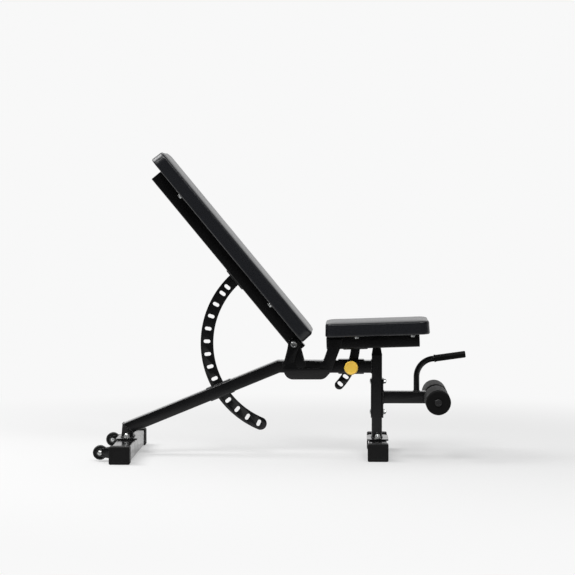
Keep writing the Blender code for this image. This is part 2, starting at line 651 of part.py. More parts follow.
# ---- lock pins ------------------------------------------------------------------------------
def build_lock_pin(label, x, z, rotation):
    # Heights are distances from the middle plane of the bench.
    face = SPINE_WIDTH / 2 + GAP
    collar = face + 0.004
    cavity = BARREL_END - 0.004
    barrel = turned(f"{label}_pin_barrel", [
        (0.0073, face), (BARREL_RADIUS + 0.0015, face), (BARREL_RADIUS + 0.0015, face + 0.003),
        (BARREL_RADIUS, face + 0.0045), (BARREL_RADIUS, BARREL_END - 0.001),
        (BARREL_RADIUS - 0.001, BARREL_END), (PIN_RADIUS + GAP, BARREL_END),
        (PIN_RADIUS + GAP, cavity), (0.0073, cavity)], POWDER_COAT, 16, closed=True)
    nose = LADDER_THICKNESS / 2 + 2 * GAP
    plunger = turned(f"{label}_pin_plunger", [
        (PIN_RADIUS - 0.0015, nose), (PIN_RADIUS, nose + 0.002), (PIN_RADIUS, collar),
        (0.0069, collar), (0.0069, collar + 0.004), (PIN_RADIUS, collar + 0.004),
        (PIN_RADIUS, BARREL_END + 0.013)], ZINC, 16)
    back_face = BARREL_END + 0.001
    knob = turned(f"{label}_pin_knob", [
        (PIN_RADIUS + GAP, BARREL_END + 0.0135), (PIN_RADIUS + GAP, back_face), (0.009, back_face),
        (0.0105, back_face + 0.005), (KNOB_RADIUS - 0.003, back_face + 0.0065),
        (KNOB_RADIUS, back_face + 0.009), (KNOB_RADIUS, back_face + 0.017),
        (KNOB_RADIUS - 0.002, back_face + 0.0205), (KNOB_RADIUS - 0.005, back_face + 0.021),
        (KNOB_RADIUS - 0.007, back_face + 0.020)], YELLOW, 24)
    spring = build_spring(f"{label}_pin_spring", collar + 0.004 + 2 * GAP, 0.0085)
    for piece in (barrel, plunger, knob, spring):
        place(piece, x, 0.0, z, rotation)


def build_spring(name, start, length):
    # A compression spring about local Z: a round wire wound on a helix, square at both ends.
    wire = 0.0006
    mean = 0.00615
    turns = 4
    steps_per_turn = 10
    sides = 5
    pitch = (length - 2 * wire) / turns
    rings = []
    for step in range(turns * steps_per_turn + 1):
        angle = 2 * math.pi * step / steps_per_turn
        height = start + wire + pitch * step / steps_per_turn
        ring = []
        for dr, dz in circle(wire, sides):
            radius = mean + dr
            ring.append((radius * math.cos(angle), radius * math.sin(angle), height + dz))
        rings.append(ring)
    return skin(name, rings, ZINC)


# ---- pads, boards and brackets --------------------------------------------------------------
def build_pad(label, start, end, underside, thickness, parent):
    middle = (start + end) / 2
    length = end - start
    board_top = underside + BOARD_THICKNESS
    bottom = underside
    top = bottom + thickness
    board_length = length - 2 * BOARD_INSET
    board_width = PAD_WIDTH - 2 * BOARD_INSET

    def ring(less, radius, z):
        return level_ring(length - less, PAD_WIDTH - less, radius, z, middle, steps=4)

    pocket = 2 * BOARD_INSET - 2 * GAP
    rings = [ring(pocket, 0.016, board_top + GAP), ring(pocket, 0.016, bottom),
             ring(0.008, PAD_CORNER - 0.004, bottom), ring(0.0, PAD_CORNER, bottom + 0.008),
             ring(0.0, PAD_CORNER, top - 0.014), ring(0.006, PAD_CORNER - 0.003, top - 0.006),
             ring(0.024, PAD_CORNER - 0.008, top)]
    skin(f"{label}_pad", rings, VINYL, parent=parent)
    rings = [level_ring(board_length, board_width, 0.016, z, middle, steps=4)
             for z in (underside, board_top)]
    skin(f"{label}_pad_board", rings, BOARD, parent=parent)


def build_brackets(label, places, tube_top, parent):
    for name, along in zip(("lower", "upper") if label == "back" else ("rear", "front"), places):
        rings = [level_ring(BRACKET_WIDTH, BRACKET_LENGTH, 0.006, z, along)
                 for z in (tube_top + GAP, tube_top + PLATE)]
        bracket = skin(f"{label}_bracket_{name}", rings, POWDER_COAT, parent=parent)
        holes = rods(f"{label}_{name}_bracket_holes", [(along, -0.045), (along, 0.045)], 0.0045,
                     0.020, parent=parent)
        place(holes, 0.0, 0.0, tube_top)
        combine(bracket, holes, "DIFFERENCE")


# ---- ladders --------------------------------------------------------------------------------
def ladder_point(radius, angle):
    # Angles run down from the local +X axis.
    return (radius * math.cos(math.radians(angle)), -radius * math.sin(math.radians(angle)))


def notch(radius, angle, length):
    half = (length - NOTCH_WIDTH) / 2
    ends = arc(NOTCH_WIDTH / 2, -90, 90, 4, (half, 0)) + arc(NOTCH_WIDTH / 2, 90, 270, 4, (-half, 0))
    turn = -math.radians(angle)
    x, z = ladder_point(radius, angle)
    return [(x + px * math.cos(turn) - pz * math.sin(turn),
             z + px * math.sin(turn) + pz * math.cos(turn)) for px, pz in ends]


def build_ladder(label, radius, width, tube_face, notch_angles, tail, parent):
    # An arched plate about the pivot, welded by its base to the underside of its tube. The tail is
    # the length of arc from the last notch to the centre of the round end.
    base_bottom = tube_face - GAP - LADDER_BASE_THICKNESS
    start = -base_bottom - 0.0005
    outer = radius + width / 2
    inner = radius - width / 2
    last = notch_angles[-1] + math.degrees(tail / radius)
    steps = math.ceil((last - 4) / 4)
    outline = arc(outer, -math.degrees(math.asin(start / outer)), -last, steps)
    outline += arc(width / 2, -last, -last - 180, 8, ladder_point(radius, last))[1:-1]
    outline += arc(inner, -last, -math.degrees(math.asin(start / inner)), steps)
    notches = [notch(radius, angle, NOTCH_LENGTH[label]) for angle in notch_angles]
    ladder = plate(f"{label}_ladder", outline, LADDER_THICKNESS, POWDER_COAT, notches, parent)
    rings = [level_ring(LADDER_BASE_LENGTH, LADDER_BASE_WIDTH, 0.006, z, radius * 0.995)
             for z in (base_bottom, tube_face - GAP)]
    base = skin(f"{label}_ladder_base", rings, POWDER_COAT, parent=parent)
    combine(ladder, base, "UNION")


# ---- back -----------------------------------------------------------------------------------
def build_back():
    bore = 2 * TUBE_WALL
    height = TUBE_HEIGHT
    path = [(BACK_TUBE_START, BACK_TUBE_AXIS), (BACK_TUBE_END, BACK_TUBE_AXIS)]
    tube = hollow_sweep("back_tube", path, rounded_rect(height, BACK_TUBE_WIDTH, TUBE_CORNER),
                        rounded_rect(height - bore, BACK_TUBE_WIDTH - bore, TUBE_WALL),
                        POWDER_COAT, BACK)
    sleeve_radius = 0.014
    way = rods("sleeve_way", [(0, 0)], sleeve_radius + 2 * GAP, 0.080, LEFT, BACK, 20)
    combine(tube, way, "DIFFERENCE")

    sleeve_half = CHEEK_INNER - 0.0022
    bush_outer = 0.0110
    profile = [(sleeve_radius, -sleeve_half), (sleeve_radius, sleeve_half),
               (bush_outer + GAP, sleeve_half), (bush_outer + GAP, -sleeve_half)]
    sleeve = turned("back_pivot_sleeve", profile, POWDER_COAT, 20, closed=True, parent=BACK)
    sleeve.rotation_euler = LEFT
    flange = sleeve_half + GAP
    bush_profile = [(PIVOT_BOLT_RADIUS + GAP, 0.010), (bush_outer, 0.010), (bush_outer, flange),
                    (0.0135, flange), (0.0135, CHEEK_INNER - GAP),
                    (PIVOT_BOLT_RADIUS + GAP, CHEEK_INNER - GAP)]
    for side, sign, rotation in SIDES:
        # The back's frame is turned about Z, so its local sides are swapped.
        bush = turned(f"back_pivot_bush_{side}", bush_profile, NYLON, 20, closed=True, parent=BACK)
        bush.rotation_euler = RIGHT if sign > 0 else LEFT

    tube_top = BACK_TUBE_AXIS + TUBE_HEIGHT / 2
    build_brackets("back", BACK_BRACKETS, tube_top, BACK)
    underside = tube_top + PLATE + GAP
    build_pad("back", BACK_PAD_START, BACK_PAD_END, underside, BACK_PAD_THICKNESS, BACK)
    angles = [BACK_LOCK + notch_angle for notch_angle in BACK_NOTCHES]
    build_ladder("back", BACK_LADDER_RADIUS, BACK_LADDER_WIDTH, BACK_TUBE_AXIS - TUBE_HEIGHT / 2,
                 angles, 0.006, BACK)


# ---- seat -----------------------------------------------------------------------------------
def build_seat():
    bore = 2 * TUBE_WALL
    path = [(SEAT_TUBE_START, SEAT_TUBE_AXIS), (SEAT_TUBE_END, SEAT_TUBE_AXIS)]
    hollow_sweep("seat_tube", path, rounded_rect(TUBE_HEIGHT, SEAT_TUBE_WIDTH, TUBE_CORNER),
                 rounded_rect(TUBE_HEIGHT - bore, SEAT_TUBE_WIDTH - bore, TUBE_WALL),
                 POWDER_COAT, SEAT)

    # The side plates hang from the pivot, pass below the spine and rise to the seat tube.
    corners = [(-0.0430, -0.0780, 0.020), (-0.0250, -0.1160, 0.030), (0.0950, -0.1195, 0.030),
               (0.1195, -0.0940, 0.030), (0.1530, -0.0145, 0.0), (0.1590, 0.0120, 0.004), (0.1120, 0.0120, 0.004),
               (0.1095, -0.0210, 0.0), (0.0960, -0.0560, 0.010), (0.0840, -0.0680, 0.006),
               (0.0800, -0.0820, 0.010), (0.0040, -0.0790, 0.010), (-0.0015, -0.0600, 0.010),
               (0.0060, -0.0345, 0.0)]
    eye = arc(0.020, -42, 182, 14)
    outline = eye + rounded_outline(corners, 5)
    for side, sign, rotation in SIDES:
        side_plate = plate(f"seat_side_plate_{side}", outline, SIDE_PLATE_THICKNESS, POWDER_COAT,
                           [hole(0, 0, PIVOT_BOLT_RADIUS + GAP, 20)], SEAT)
        side_plate.location.y = sign * (SIDE_PLATE_INNER + SIDE_PLATE_THICKNESS / 2)

    tube_top = SEAT_TUBE_AXIS + TUBE_HEIGHT / 2
    build_brackets("seat", SEAT_BRACKETS, tube_top, SEAT)
    underside = tube_top + PLATE + GAP
    build_pad("seat", SEAT_PAD_START, SEAT_PAD_END, underside, SEAT_PAD_THICKNESS, SEAT)
    angles = [SEAT_LOCK + SEAT_ANGLE + notch_angle for notch_angle in SEAT_NOTCHES]
    build_ladder("seat", SEAT_LADDER_RADIUS, SEAT_LADDER_WIDTH, SEAT_TUBE_AXIS - TUBE_HEIGHT / 2,
                 angles, 0.005, SEAT)


build_spine()
build_rear_leg()
build_front_post()
build_foot("rear", REAR_FOOT_X, REAR_FOOT_LENGTH)
build_foot("front", FRONT_FOOT_X, FRONT_FOOT_LENGTH)
build_cheeks()
build_pivot_bolt()
build_leg_holder()
build_handle()
build_wheels()
build_lock_pin("back", BACK_LOCK_X, BACK_LOCK_Z, LEFT)
build_lock_pin("seat", SEAT_LOCK_X, SPINE_Z, RIGHT)
build_back()
build_seat()
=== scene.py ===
import json
import math

import bmesh
import bpy
import numpy
from mathutils import Euler, Matrix, Vector, noise
from mathutils.kdtree import KDTree

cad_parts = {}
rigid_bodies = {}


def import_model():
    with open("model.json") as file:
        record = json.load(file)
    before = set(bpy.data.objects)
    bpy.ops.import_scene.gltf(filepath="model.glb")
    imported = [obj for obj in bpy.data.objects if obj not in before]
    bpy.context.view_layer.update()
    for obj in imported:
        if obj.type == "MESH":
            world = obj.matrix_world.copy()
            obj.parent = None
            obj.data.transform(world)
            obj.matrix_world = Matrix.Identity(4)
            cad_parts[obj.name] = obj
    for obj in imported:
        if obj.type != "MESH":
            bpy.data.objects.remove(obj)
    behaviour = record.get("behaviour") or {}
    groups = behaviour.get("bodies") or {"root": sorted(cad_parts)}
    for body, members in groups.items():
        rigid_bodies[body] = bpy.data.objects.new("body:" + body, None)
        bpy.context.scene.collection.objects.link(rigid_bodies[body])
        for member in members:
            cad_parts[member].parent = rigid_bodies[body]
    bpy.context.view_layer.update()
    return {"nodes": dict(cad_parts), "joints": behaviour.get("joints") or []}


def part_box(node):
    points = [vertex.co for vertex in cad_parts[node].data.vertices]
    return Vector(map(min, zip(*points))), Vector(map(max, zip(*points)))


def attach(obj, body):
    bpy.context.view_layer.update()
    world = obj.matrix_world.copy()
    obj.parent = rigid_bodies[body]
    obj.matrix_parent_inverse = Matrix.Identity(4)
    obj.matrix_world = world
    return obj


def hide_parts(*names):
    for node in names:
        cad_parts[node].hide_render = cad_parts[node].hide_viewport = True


for leftover in list(bpy.data.objects):
    bpy.data.objects.remove(leftover, do_unlink=True)
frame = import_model()
print("frame loaded:", len(frame["nodes"]), "nodes")

# what the whole bench shares, in metres and degrees
bench = {
    "backAngle": 50.4,       # back above the horizontal, in its tenth notch
    "seatAngle": 1.88,       # seat above the horizontal, in its first notch
    "tubeHeight": 0.040,
    "tubeCorner": 0.004,
    "spineWidth": 0.060,
    "backTubeWidth": 0.050,
    "seatTubeWidth": 0.070,
    "gap": 0.0003,
    "edge": 0.0006,          # rounding that cutting and coating leave on flat steel
    "plug": 0.002,           # how far a tube ends short of the face of its plug
}
pivotX, _, pivotZ = next(j["pos_m"] for j in frame["joints"] if j["name"] == "back_tilt")


def hingeFrame(turn):
    return Matrix.Translation((pivotX, 0, pivotZ)) @ Euler(turn).to_matrix().to_4x4()


# +X of the back's own frame runs up the back, and +Z out of the pad; the seat's runs to the front
backFrame = hingeFrame((0, -math.radians(bench["backAngle"]), math.pi))
seatFrame = hingeFrame((0, -math.radians(bench["seatAngle"]), 0))
atRest = Matrix.Identity(4)
toLeft = Euler((-math.pi / 2, 0, 0)).to_matrix().to_4x4()
toRight = Euler((math.pi / 2, 0, 0)).to_matrix().to_4x4()
toFront = Euler((0, math.pi / 2, 0)).to_matrix().to_4x4()
toRear = Euler((0, -math.pi / 2, 0)).to_matrix().to_4x4()
facingFront = Euler((math.pi / 2, 0, math.pi / 2)).to_matrix().to_4x4()   # a shape drawn in XY faces +X
upright = toRight            # a shape drawn in XY stands up in XZ
sides = (("left", "Left", 1, toLeft), ("right", "Right", -1, toRight))


def at(x=0.0, y=0.0, z=0.0, turn=atRest):
    return Matrix.Translation((x, y, z)) @ turn


def middleOf(node):
    low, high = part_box(node)
    return (low + high) / 2


def linear(hexColour):
    channels = [int(hexColour[i:i + 2], 16) / 255 for i in (1, 3, 5)]
    return (*[c / 12.92 if c <= 0.04045 else ((c + 0.055) / 1.055) ** 2.4 for c in channels], 1.0)


def addNode(tree, kind, settings=None, links=None):
    # settings are sockets or, where no socket has that name, the node's own properties
    node = tree.nodes.new(kind)
    for key, value in (settings or {}).items():
        if isinstance(key, str) and key not in node.inputs:
            setattr(node, key, value)
        else:
            node.inputs[key].default_value = value
    for key, source in (links or {}).items():
        tree.links.new(source, node.inputs[key])
    return node


def startFinish(name, settings):
    finish = bpy.data.materials.new(name)
    finish.use_nodes = True
    tree = finish.node_tree
    shader = tree.nodes["Principled BSDF"]
    for socket, value in settings.items():
        shader.inputs[socket].default_value = value
    place = addNode(tree, "ShaderNodeTexCoord").outputs["Object"]
    return finish, tree, shader, place


def completeFinish(tree, shader, look, tone, relief, gloss=None):
    # colour, relief and roughness each follow a pattern between the two ends that the look gives
    colour = addNode(tree, "ShaderNodeMix",
                     {"data_type": "RGBA", 6: linear(look["deep"]), 7: linear(look["light"])}, {0: tone})
    tree.links.new(colour.outputs[2], shader.inputs["Base Color"])
    bump = addNode(tree, "ShaderNodeBump", {"Strength": look["strength"], "Distance": look["depth"]},
                   {"Height": relief})
    tree.links.new(bump.outputs["Normal"], shader.inputs["Normal"])
    if gloss:
        low, high = look.get("span", (0.3, 0.7))
        rough = addNode(tree, "ShaderNodeMapRange",
                        {"From Min": low, "From Max": high, "To Min": look["roughness"][0],
                         "To Max": look["roughness"][1]}, {"Value": gloss})
        tree.links.new(rough.outputs["Result"], shader.inputs["Roughness"])


def blackPowderCoat():
    # polyester powder baked on steel: even black, half gloss, with the soft waves called orange peel
    look = {
        "deep": "#101011", "light": "#161617", "roughness": (0.13, 0.21), "cloud": 0.055,
        "peel": 0.0034,      # real peel is about 1.5 mm across; drawn wider so that it shows
        "strength": 0.22, "depth": 0.00010,
    }
    finish, tree, shader, place = startFinish("polyester powder coat, baked",
                                              {"IOR": 1.5, "Specular IOR Level": 0.42})
    cloud = addNode(tree, "ShaderNodeTexNoise", {"Scale": 1 / look["cloud"], "Detail": 3.0},
                    {"Vector": place})
    peel = addNode(tree, "ShaderNodeTexNoise", {"Scale": 1 / look["peel"], "Detail": 1.0},
                   {"Vector": place})
    completeFinish(tree, shader, look, cloud.outputs["Fac"], peel.outputs["Fac"], cloud.outputs["Fac"])
    return finish


def embossedVinyl():
    # PVC on a knitted back, embossed with a fine leather grain: bluish black, soft sheen at low angles
    look = {
        "deep": "#141519", "light": "#1b1d21", "roughness": (0.34, 0.27), "span": (0.0, 1.0),
        "grain": 0.0026,     # real grain is about 1.2 mm; drawn wider so that it shows
        "strength": 0.22, "depth": 0.00016,
        "bend": 0.0022,      # how far the grain's cells wander
    }
    finish, tree, shader, place = startFinish("PVC leathercloth, embossed", {"IOR": 1.52})
    drift = addNode(tree, "ShaderNodeTexNoise", {"Scale": 1 / (2 * look["grain"]), "Detail": 2.0},
                    {"Vector": place})
    bent = addNode(tree, "ShaderNodeVectorMath", {"operation": "MULTIPLY_ADD", 1: [look["bend"]] * 3},
                   {0: drift.outputs["Color"], 2: place})
    grain = addNode(tree, "ShaderNodeTexVoronoi",
                    {"feature": "DISTANCE_TO_EDGE", "Scale": 1 / look["grain"]},
                    {"Vector": bent.outputs[0]})
    valley = addNode(tree, "ShaderNodeMapRange",
                     {"From Max": 0.25, "To Min": 0.0, "To Max": 1.0, "interpolation_type": "SMOOTHSTEP"},
                     {"Value": grain.outputs["Distance"]})
    valley = valley.outputs["Result"]
    completeFinish(tree, shader, look, valley, valley, valley)
    return finish


def mouldedFinish(name, settings, deep, light, grit, depth, roughness):
    # moulded rubber and plastic differ in colour, gloss and the texture that the mould leaves;
    # grit and depth are the texture's width and height in metres, wider than real so that they show
    finish, tree, shader, place = startFinish(name, settings)
    grain = addNode(tree, "ShaderNodeTexNoise", {"Scale": 1 / grit, "Detail": 4.0, "Roughness": 0.6},
                    {"Vector": place})
    cloud = addNode(tree, "ShaderNodeTexNoise", {"Scale": 28.0, "Detail": 3.0}, {"Vector": place})
    look = {"deep": deep, "light": light, "roughness": roughness, "strength": 0.4, "depth": depth}
    completeFinish(tree, shader, look, cloud.outputs["Fac"], grain.outputs["Fac"], grain.outputs["Fac"])
    return finish


def mouldedRubber():
    # EPDM rubber from a sparked mould: dull black with a dusty bloom
    return mouldedFinish("EPDM rubber, moulded", {"IOR": 1.5, "Specular IOR Level": 0.14},
                         "#121212", "#191919", 0.0022, 0.00015, (0.50, 0.62))


def dippedGrip():
    # PVC sleeve, matt from its mould: darker and softer than the rubber caps
    return mouldedFinish("PVC grip, matt", {"IOR": 1.5, "Specular IOR Level": 0.10},
                         "#070707", "#0c0c0c", 0.0016, 0.00012, (0.46, 0.58))


def nitrileFoam():
    # closed-cell nitrile foam with its skin on: dead black, small pores, a little light at its rim
    return mouldedFinish("nitrile foam, skinned",
                         {"IOR": 1.46, "Specular IOR Level": 0.15, "Sheen Weight": 0.04,
                          "Sheen Roughness": 0.4},
                         "#080808", "#0e0e0e", 0.0019, 0.00035, (0.56, 0.74))


def wheelPolymer():
    # polypropylene wheel, moulded: a smooth dark grey-black with a low gloss
    return mouldedFinish("polypropylene, moulded", {"IOR": 1.49, "Specular IOR Level": 0.3},
                         "#0a0b0b", "#101111", 0.0030, 0.00008, (0.40, 0.50))


def mouldedNylon():
    # PA6 with glass, moulded: black with a faint flow pattern
    return mouldedFinish("PA6 nylon, moulded", {"IOR": 1.53},
                         "#0f0f10", "#161617", 0.0025, 0.00010, (0.42, 0.54))


def yellowAbs():
    # ABS coloured in the mass, from a fine sparked mould: warm yellow, satin
    return mouldedFinish("ABS, moulded", {"IOR": 1.54, "Subsurface Weight": 0.06,
                                          "Subsurface Scale": 0.002},
                         "#fac641", "#ffd75e", 0.0024, 0.00012, (0.34, 0.46))


def brightZinc():
    # steel with bright zinc plate and a clear passivate: light metal, faintly blue, slightly cloudy
    look = {
        "deep": "#b9bfc4", "light": "#cfcdc6", "cloud": 0.006, "roughness": (0.20, 0.36), "span": (0.0, 1.0),
        "lay": 0.0009, "strength": 0.10, "depth": 0.00005,
    }
    finish, tree, shader, place = startFinish("zinc plate, bright", {"Metallic": 1.0})
    cloud = addNode(tree, "ShaderNodeTexNoise", {"Scale": 1 / look["cloud"], "Detail": 4.0},
                    {"Vector": place})
    lay = addNode(tree, "ShaderNodeTexNoise", {"Scale": 1 / look["lay"], "Detail": 1.0}, {"Vector": place})
    completeFinish(tree, shader, look, cloud.outputs["Fac"], lay.outputs["Fac"], cloud.outputs["Fac"])
    return finish


def bondedCloth():
    # spun-bonded polypropylene cloth: matt black with a grid of small weld dots
    look = {"deep": "#0e0e0e", "light": "#1d1d1d", "dot": 0.0028, "fibre": 0.0012, "strength": 0.5,
            "depth": 0.0003}
    finish, tree, shader, place = startFinish("polypropylene cloth, spun-bonded", {"Roughness": 0.92})
    dots = addNode(tree, "ShaderNodeTexVoronoi", {"Scale": 1 / look["dot"], "Randomness": 0.15},
                   {"Vector": place})
    fibre = addNode(tree, "ShaderNodeTexNoise", {"Scale": 1 / look["fibre"], "Detail": 5.0},
                    {"Vector": place})
    mixed = addNode(tree, "ShaderNodeMath", {"operation": "MULTIPLY"},
                    {0: dots.outputs["Distance"], 1: fibre.outputs["Fac"]})
    completeFinish(tree, shader, look, mixed.outputs[0], mixed.outputs[0])
    return finish


def polyesterThread():
    # bonded polyester thread, twisted: black and duller than the cover
    finish, tree, shader, place = startFinish("polyester thread, bonded",
                                              {"Roughness": 0.85, "Specular IOR Level": 0.05})
    look = {"deep": "#0f1012", "light": "#17181b", "ply": 0.0016, "strength": 0.4, "depth": 0.0002}
    ply = addNode(tree, "ShaderNodeTexWave", {"Scale": 1 / look["ply"], "bands_direction": "DIAGONAL"},
                  {"Vector": place})
    completeFinish(tree, shader, look, ply.outputs["Fac"], ply.outputs["Fac"])
    return finish


# each finish with the material slot of the record that it shows
finishes = {
    "coat": (blackPowderCoat(), "frame_steel"),
    "vinyl": (embossedVinyl(), "pad_vinyl"),
    "rubber": (mouldedRubber(), "foot_rubber"),
    "foam": (nitrileFoam(), "roller_foam"),
    "gripRubber": (dippedGrip(), "foot_rubber"),
    "wheel": (wheelPolymer(), "wheel_rubber"),
    "zinc": (brightZinc(), "zinc_hardware"),
    "knob": (yellowAbs(), "knob_plastic"),
    "nylon": (mouldedNylon(), "black_nylon"),
    "cloth": (bondedCloth(), "pad_board"),
    "thread": (polyesterThread(), "pad_vinyl"),
}
print("finishes made:", len(finishes))


def takeMesh(bm, name="shape"):
    bmesh.ops.remove_doubles(bm, verts=bm.verts[:], dist=1e-6)
    bmesh.ops.recalc_face_normals(bm, faces=bm.faces[:])
    mesh = bpy.data.meshes.new(name)
    bm.to_mesh(mesh)
    bm.free()
    return mesh


def loft(rings, closed=False):
    # quads between rings of equal length; the end rings are capped unless the rings close on themselves
    bm = bmesh.new()
    rows = [[bm.verts.new(point) for point in ring] for ring in rings]
    pairs = list(zip(rows, rows[1:]))
    if closed:
        pairs.append((rows[-1], rows[0]))
    else:
        bm.faces.new(rows[0])
        bm.faces.new(rows[-1])
    for low, high in pairs:
        for i in range(len(low)):
            j = (i + 1) % len(low)
            bm.faces.new((low[i], low[j], high[j], high[i]))
    return takeMesh(bm)


def merged(*parts):
    # one mesh from (mesh, matrix) pairs
    bm = bmesh.new()
    for mesh, matrix in parts:
        copy = mesh.copy()
        copy.transform(matrix)
        bm.from_mesh(copy)
        bpy.data.meshes.remove(copy)
    mesh = bpy.data.meshes.new("merged")
    bm.to_mesh(mesh)
    bm.free()
    return mesh


def eased(points, radius, steps=3, closed=False):
    # corners of a polyline of 2D points rounded by arcs, no wider than the runs beside them allow
    result = []
    count = len(points)
    for i, point in enumerate(points):
        corner = Vector(point[:2])
        size = point[2] if len(point) > 2 else radius
        if size <= 0 or (not closed and i in (0, count - 1)):
            result.append(tuple(corner))
            continue
        before = Vector(points[i - 1][:2]) - corner
        after = Vector(points[(i + 1) % count][:2]) - corner
        if before.length < 1e-7 or after.length < 1e-7:
            result.append(tuple(corner))
            continue
        half = before.angle(after) / 2
        if half > math.radians(88):
            result.append(tuple(corner))
            continue
        reach = min(size / math.tan(half), 0.45 * before.length, 0.45 * after.length)
        size = reach * math.tan(half)
        before, after = before.normalized(), after.normalized()
        centre = corner + (before + after).normalized() * (size / math.sin(half))
        first, last = corner + before * reach - centre, corner + after * reach - centre
        turn = first.angle_signed(last)
        for step in range(steps + 1):
            angle = -turn * step / steps
            cos, sin = math.cos(angle), math.sin(angle)
            result.append((centre.x + first.x * cos - first.y * sin,
                           centre.y + first.x * sin + first.y * cos))
    return result


def circle(radius, segments, x=0.0, y=0.0):
    turns = [2 * math.pi * i / segments for i in range(segments)]
    return [(x + radius * math.cos(turn), y + radius * math.sin(turn)) for turn in turns]


def arc(radius, start, end, steps, centre=(0.0, 0.0)):
    turns = [math.radians(start + (end - start) * i / steps) for i in range(steps + 1)]
    return [(centre[0] + radius * math.cos(turn), centre[1] + radius * math.sin(turn)) for turn in turns]


def roundedRect(width, depth, radius, steps=6):
    x, y = width / 2, depth / 2
    return eased([(x, y), (-x, y), (-x, -y), (x, -y)], radius, steps, closed=True)


def levelRing(width, depth, radius, z, x=0.0, y=0.0, steps=6):
    return [(x + px, y + py, z) for px, py in roundedRect(width, depth, radius, steps)]


def uprightRing(height, width, radius, x, z, steps=6):
    return [(x, py, z + pz) for pz, py in roundedRect(height, width, radius, steps)]


def lathe(profile, ease=0.0004, segments=64, closed=False):
    # a turned shape about Z from (radius, height) points, its corners eased
    softened = eased(profile, ease, 3, closed)
    return loft([[(x, y, height) for x, y in circle(max(radius, 1e-5), segments)]
                 for radius, height in softened], closed)


def hexRing(flats, z, limit):
    # a hexagon whose corners are turned off at the limit radius
    ring = []
    for i in range(72):
        turn = 2 * math.pi * i / 72
        within = (turn + math.pi / 6) % (math.pi / 3) - math.pi / 6
        radius = min(flats / 2 / math.cos(within), limit)
        ring.append((radius * math.cos(turn), radius * math.sin(turn), z))
    return ring


def plateMesh(outline, thickness, holes=(), edge=None):
    # a flat plate in XY, centred on Z = 0, with eased edges also round its holes
    edge = bench["edge"] if edge is None else edge
    curve = bpy.data.curves.new("outline", "CURVE")
    curve.dimensions = "2D"
    curve.fill_mode = "BOTH"
    curve.extrude = thickness / 2 - edge
    curve.bevel_depth = edge
    curve.bevel_resolution = 2
    curve.offset = -edge
    for loop in (outline, *holes):
        spline = curve.splines.new("POLY")
        spline.points.add(len(loop) - 1)
        spline.points.foreach_set("co", [c for x, y in loop for c in (x, y, 0, 1)])
        spline.use_cyclic_u = True
    holder = bpy.data.objects.new("outline", curve)
    bpy.context.scene.collection.objects.link(holder)
    graph = bpy.context.evaluated_depsgraph_get()
    bm = bmesh.new()
    bm.from_mesh(bpy.data.meshes.new_from_object(holder.evaluated_get(graph)))
    bpy.data.objects.remove(holder)
    return takeMesh(bm)


def sweptRings(path, section):
    # rings of (offset square to the path, Y) along a path in XZ, mitred at its corners
    rings = []
    for i, point in enumerate(path):
        ends = [path[max(i - 1, 0):max(i - 1, 0) + 2], path[min(i, len(path) - 2):][:2]]
        normals = []
        for start, end in ends:
            run = Vector((end[0] - start[0], end[1] - start[1])).normalized()
            normals.append(Vector((-run.y, run.x)))
        mitre = (normals[0] + normals[1]) / (1 + normals[0].dot(normals[1]))
        rings.append([(point[0] + a * mitre.x, y, point[1] + a * mitre.y) for a, y in section])
    return rings


def carved(mesh, *cutters):
    # the mesh less its cutters, each a (mesh, matrix) pair
    scene = bpy.context.scene
    body = bpy.data.objects.new("carved", mesh)
    scene.collection.objects.link(body)
    helpers = []
    for cutter, matrix in cutters:
        helper = bpy.data.objects.new("cutter", cutter)
        helper.matrix_world = matrix
        scene.collection.objects.link(helper)
        helpers.append(helper)
        cut = body.modifiers.new("cut", "BOOLEAN")
        cut.operation = "DIFFERENCE"
        cut.solver = "EXACT"
        cut.object = helper
    result = bpy.data.meshes.new_from_object(body.evaluated_get(bpy.context.evaluated_depsgraph_get()))
    for helper in (*helpers, body):
        bpy.data.objects.remove(helper)
    return result


def addPiece(name, mesh, finish, body, matrix=atRest, stands=(), sharp=34):
    # a visible piece in its finish, riding on a body and standing for its nodes of the frame
    mesh.name = name
    mesh.shade_smooth()
    mesh.set_sharp_from_angle(angle=math.radians(sharp))
    material, slot = finishes[finish]
    mesh.materials.clear()
    mesh.materials.append(material)
    piece = bpy.data.objects.new(name, mesh)
    bpy.context.scene.collection.objects.link(piece)
    piece.matrix_world = matrix
    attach(piece, body)
    if stands:
        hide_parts(*stands)
    return piece


def weldBead(path, radius, closed=True, ripple=0.0022):
    # a run of weld along a path: a cord with the ripples that each dip of the wire leaves
    points = [Vector(point) for point in path]
    if closed:
        points.append(points[0])
    walked = []
    for start, end in zip(points, points[1:]):
        count = max(1, round((end - start).length / (ripple / 4)))
        walked += [start.lerp(end, i / count) for i in range(count)]
    if not closed:
        walked.append(points[-1])
    leaning = Vector((0.31, 0.52, 0.79))
    rings = []
    for i, point in enumerate(walked):
        following = walked[(i + 1) % len(walked)] if closed or i + 1 < len(walked) else point
        ahead = (following - walked[i - 1 if closed or i else 0]).normalized()
        across = ahead.cross(leaning).normalized()
        above = across.cross(ahead)
        swell = radius * (1 + 0.13 * math.cos(math.pi * i / 2) + 0.12 * noise.noise(point * 170))
        rings.append([point + swell * (math.cos(a) * across + math.sin(a) * above)
                      for a in (math.pi * k / 5 for k in range(10))])
    return loft(rings, closed)


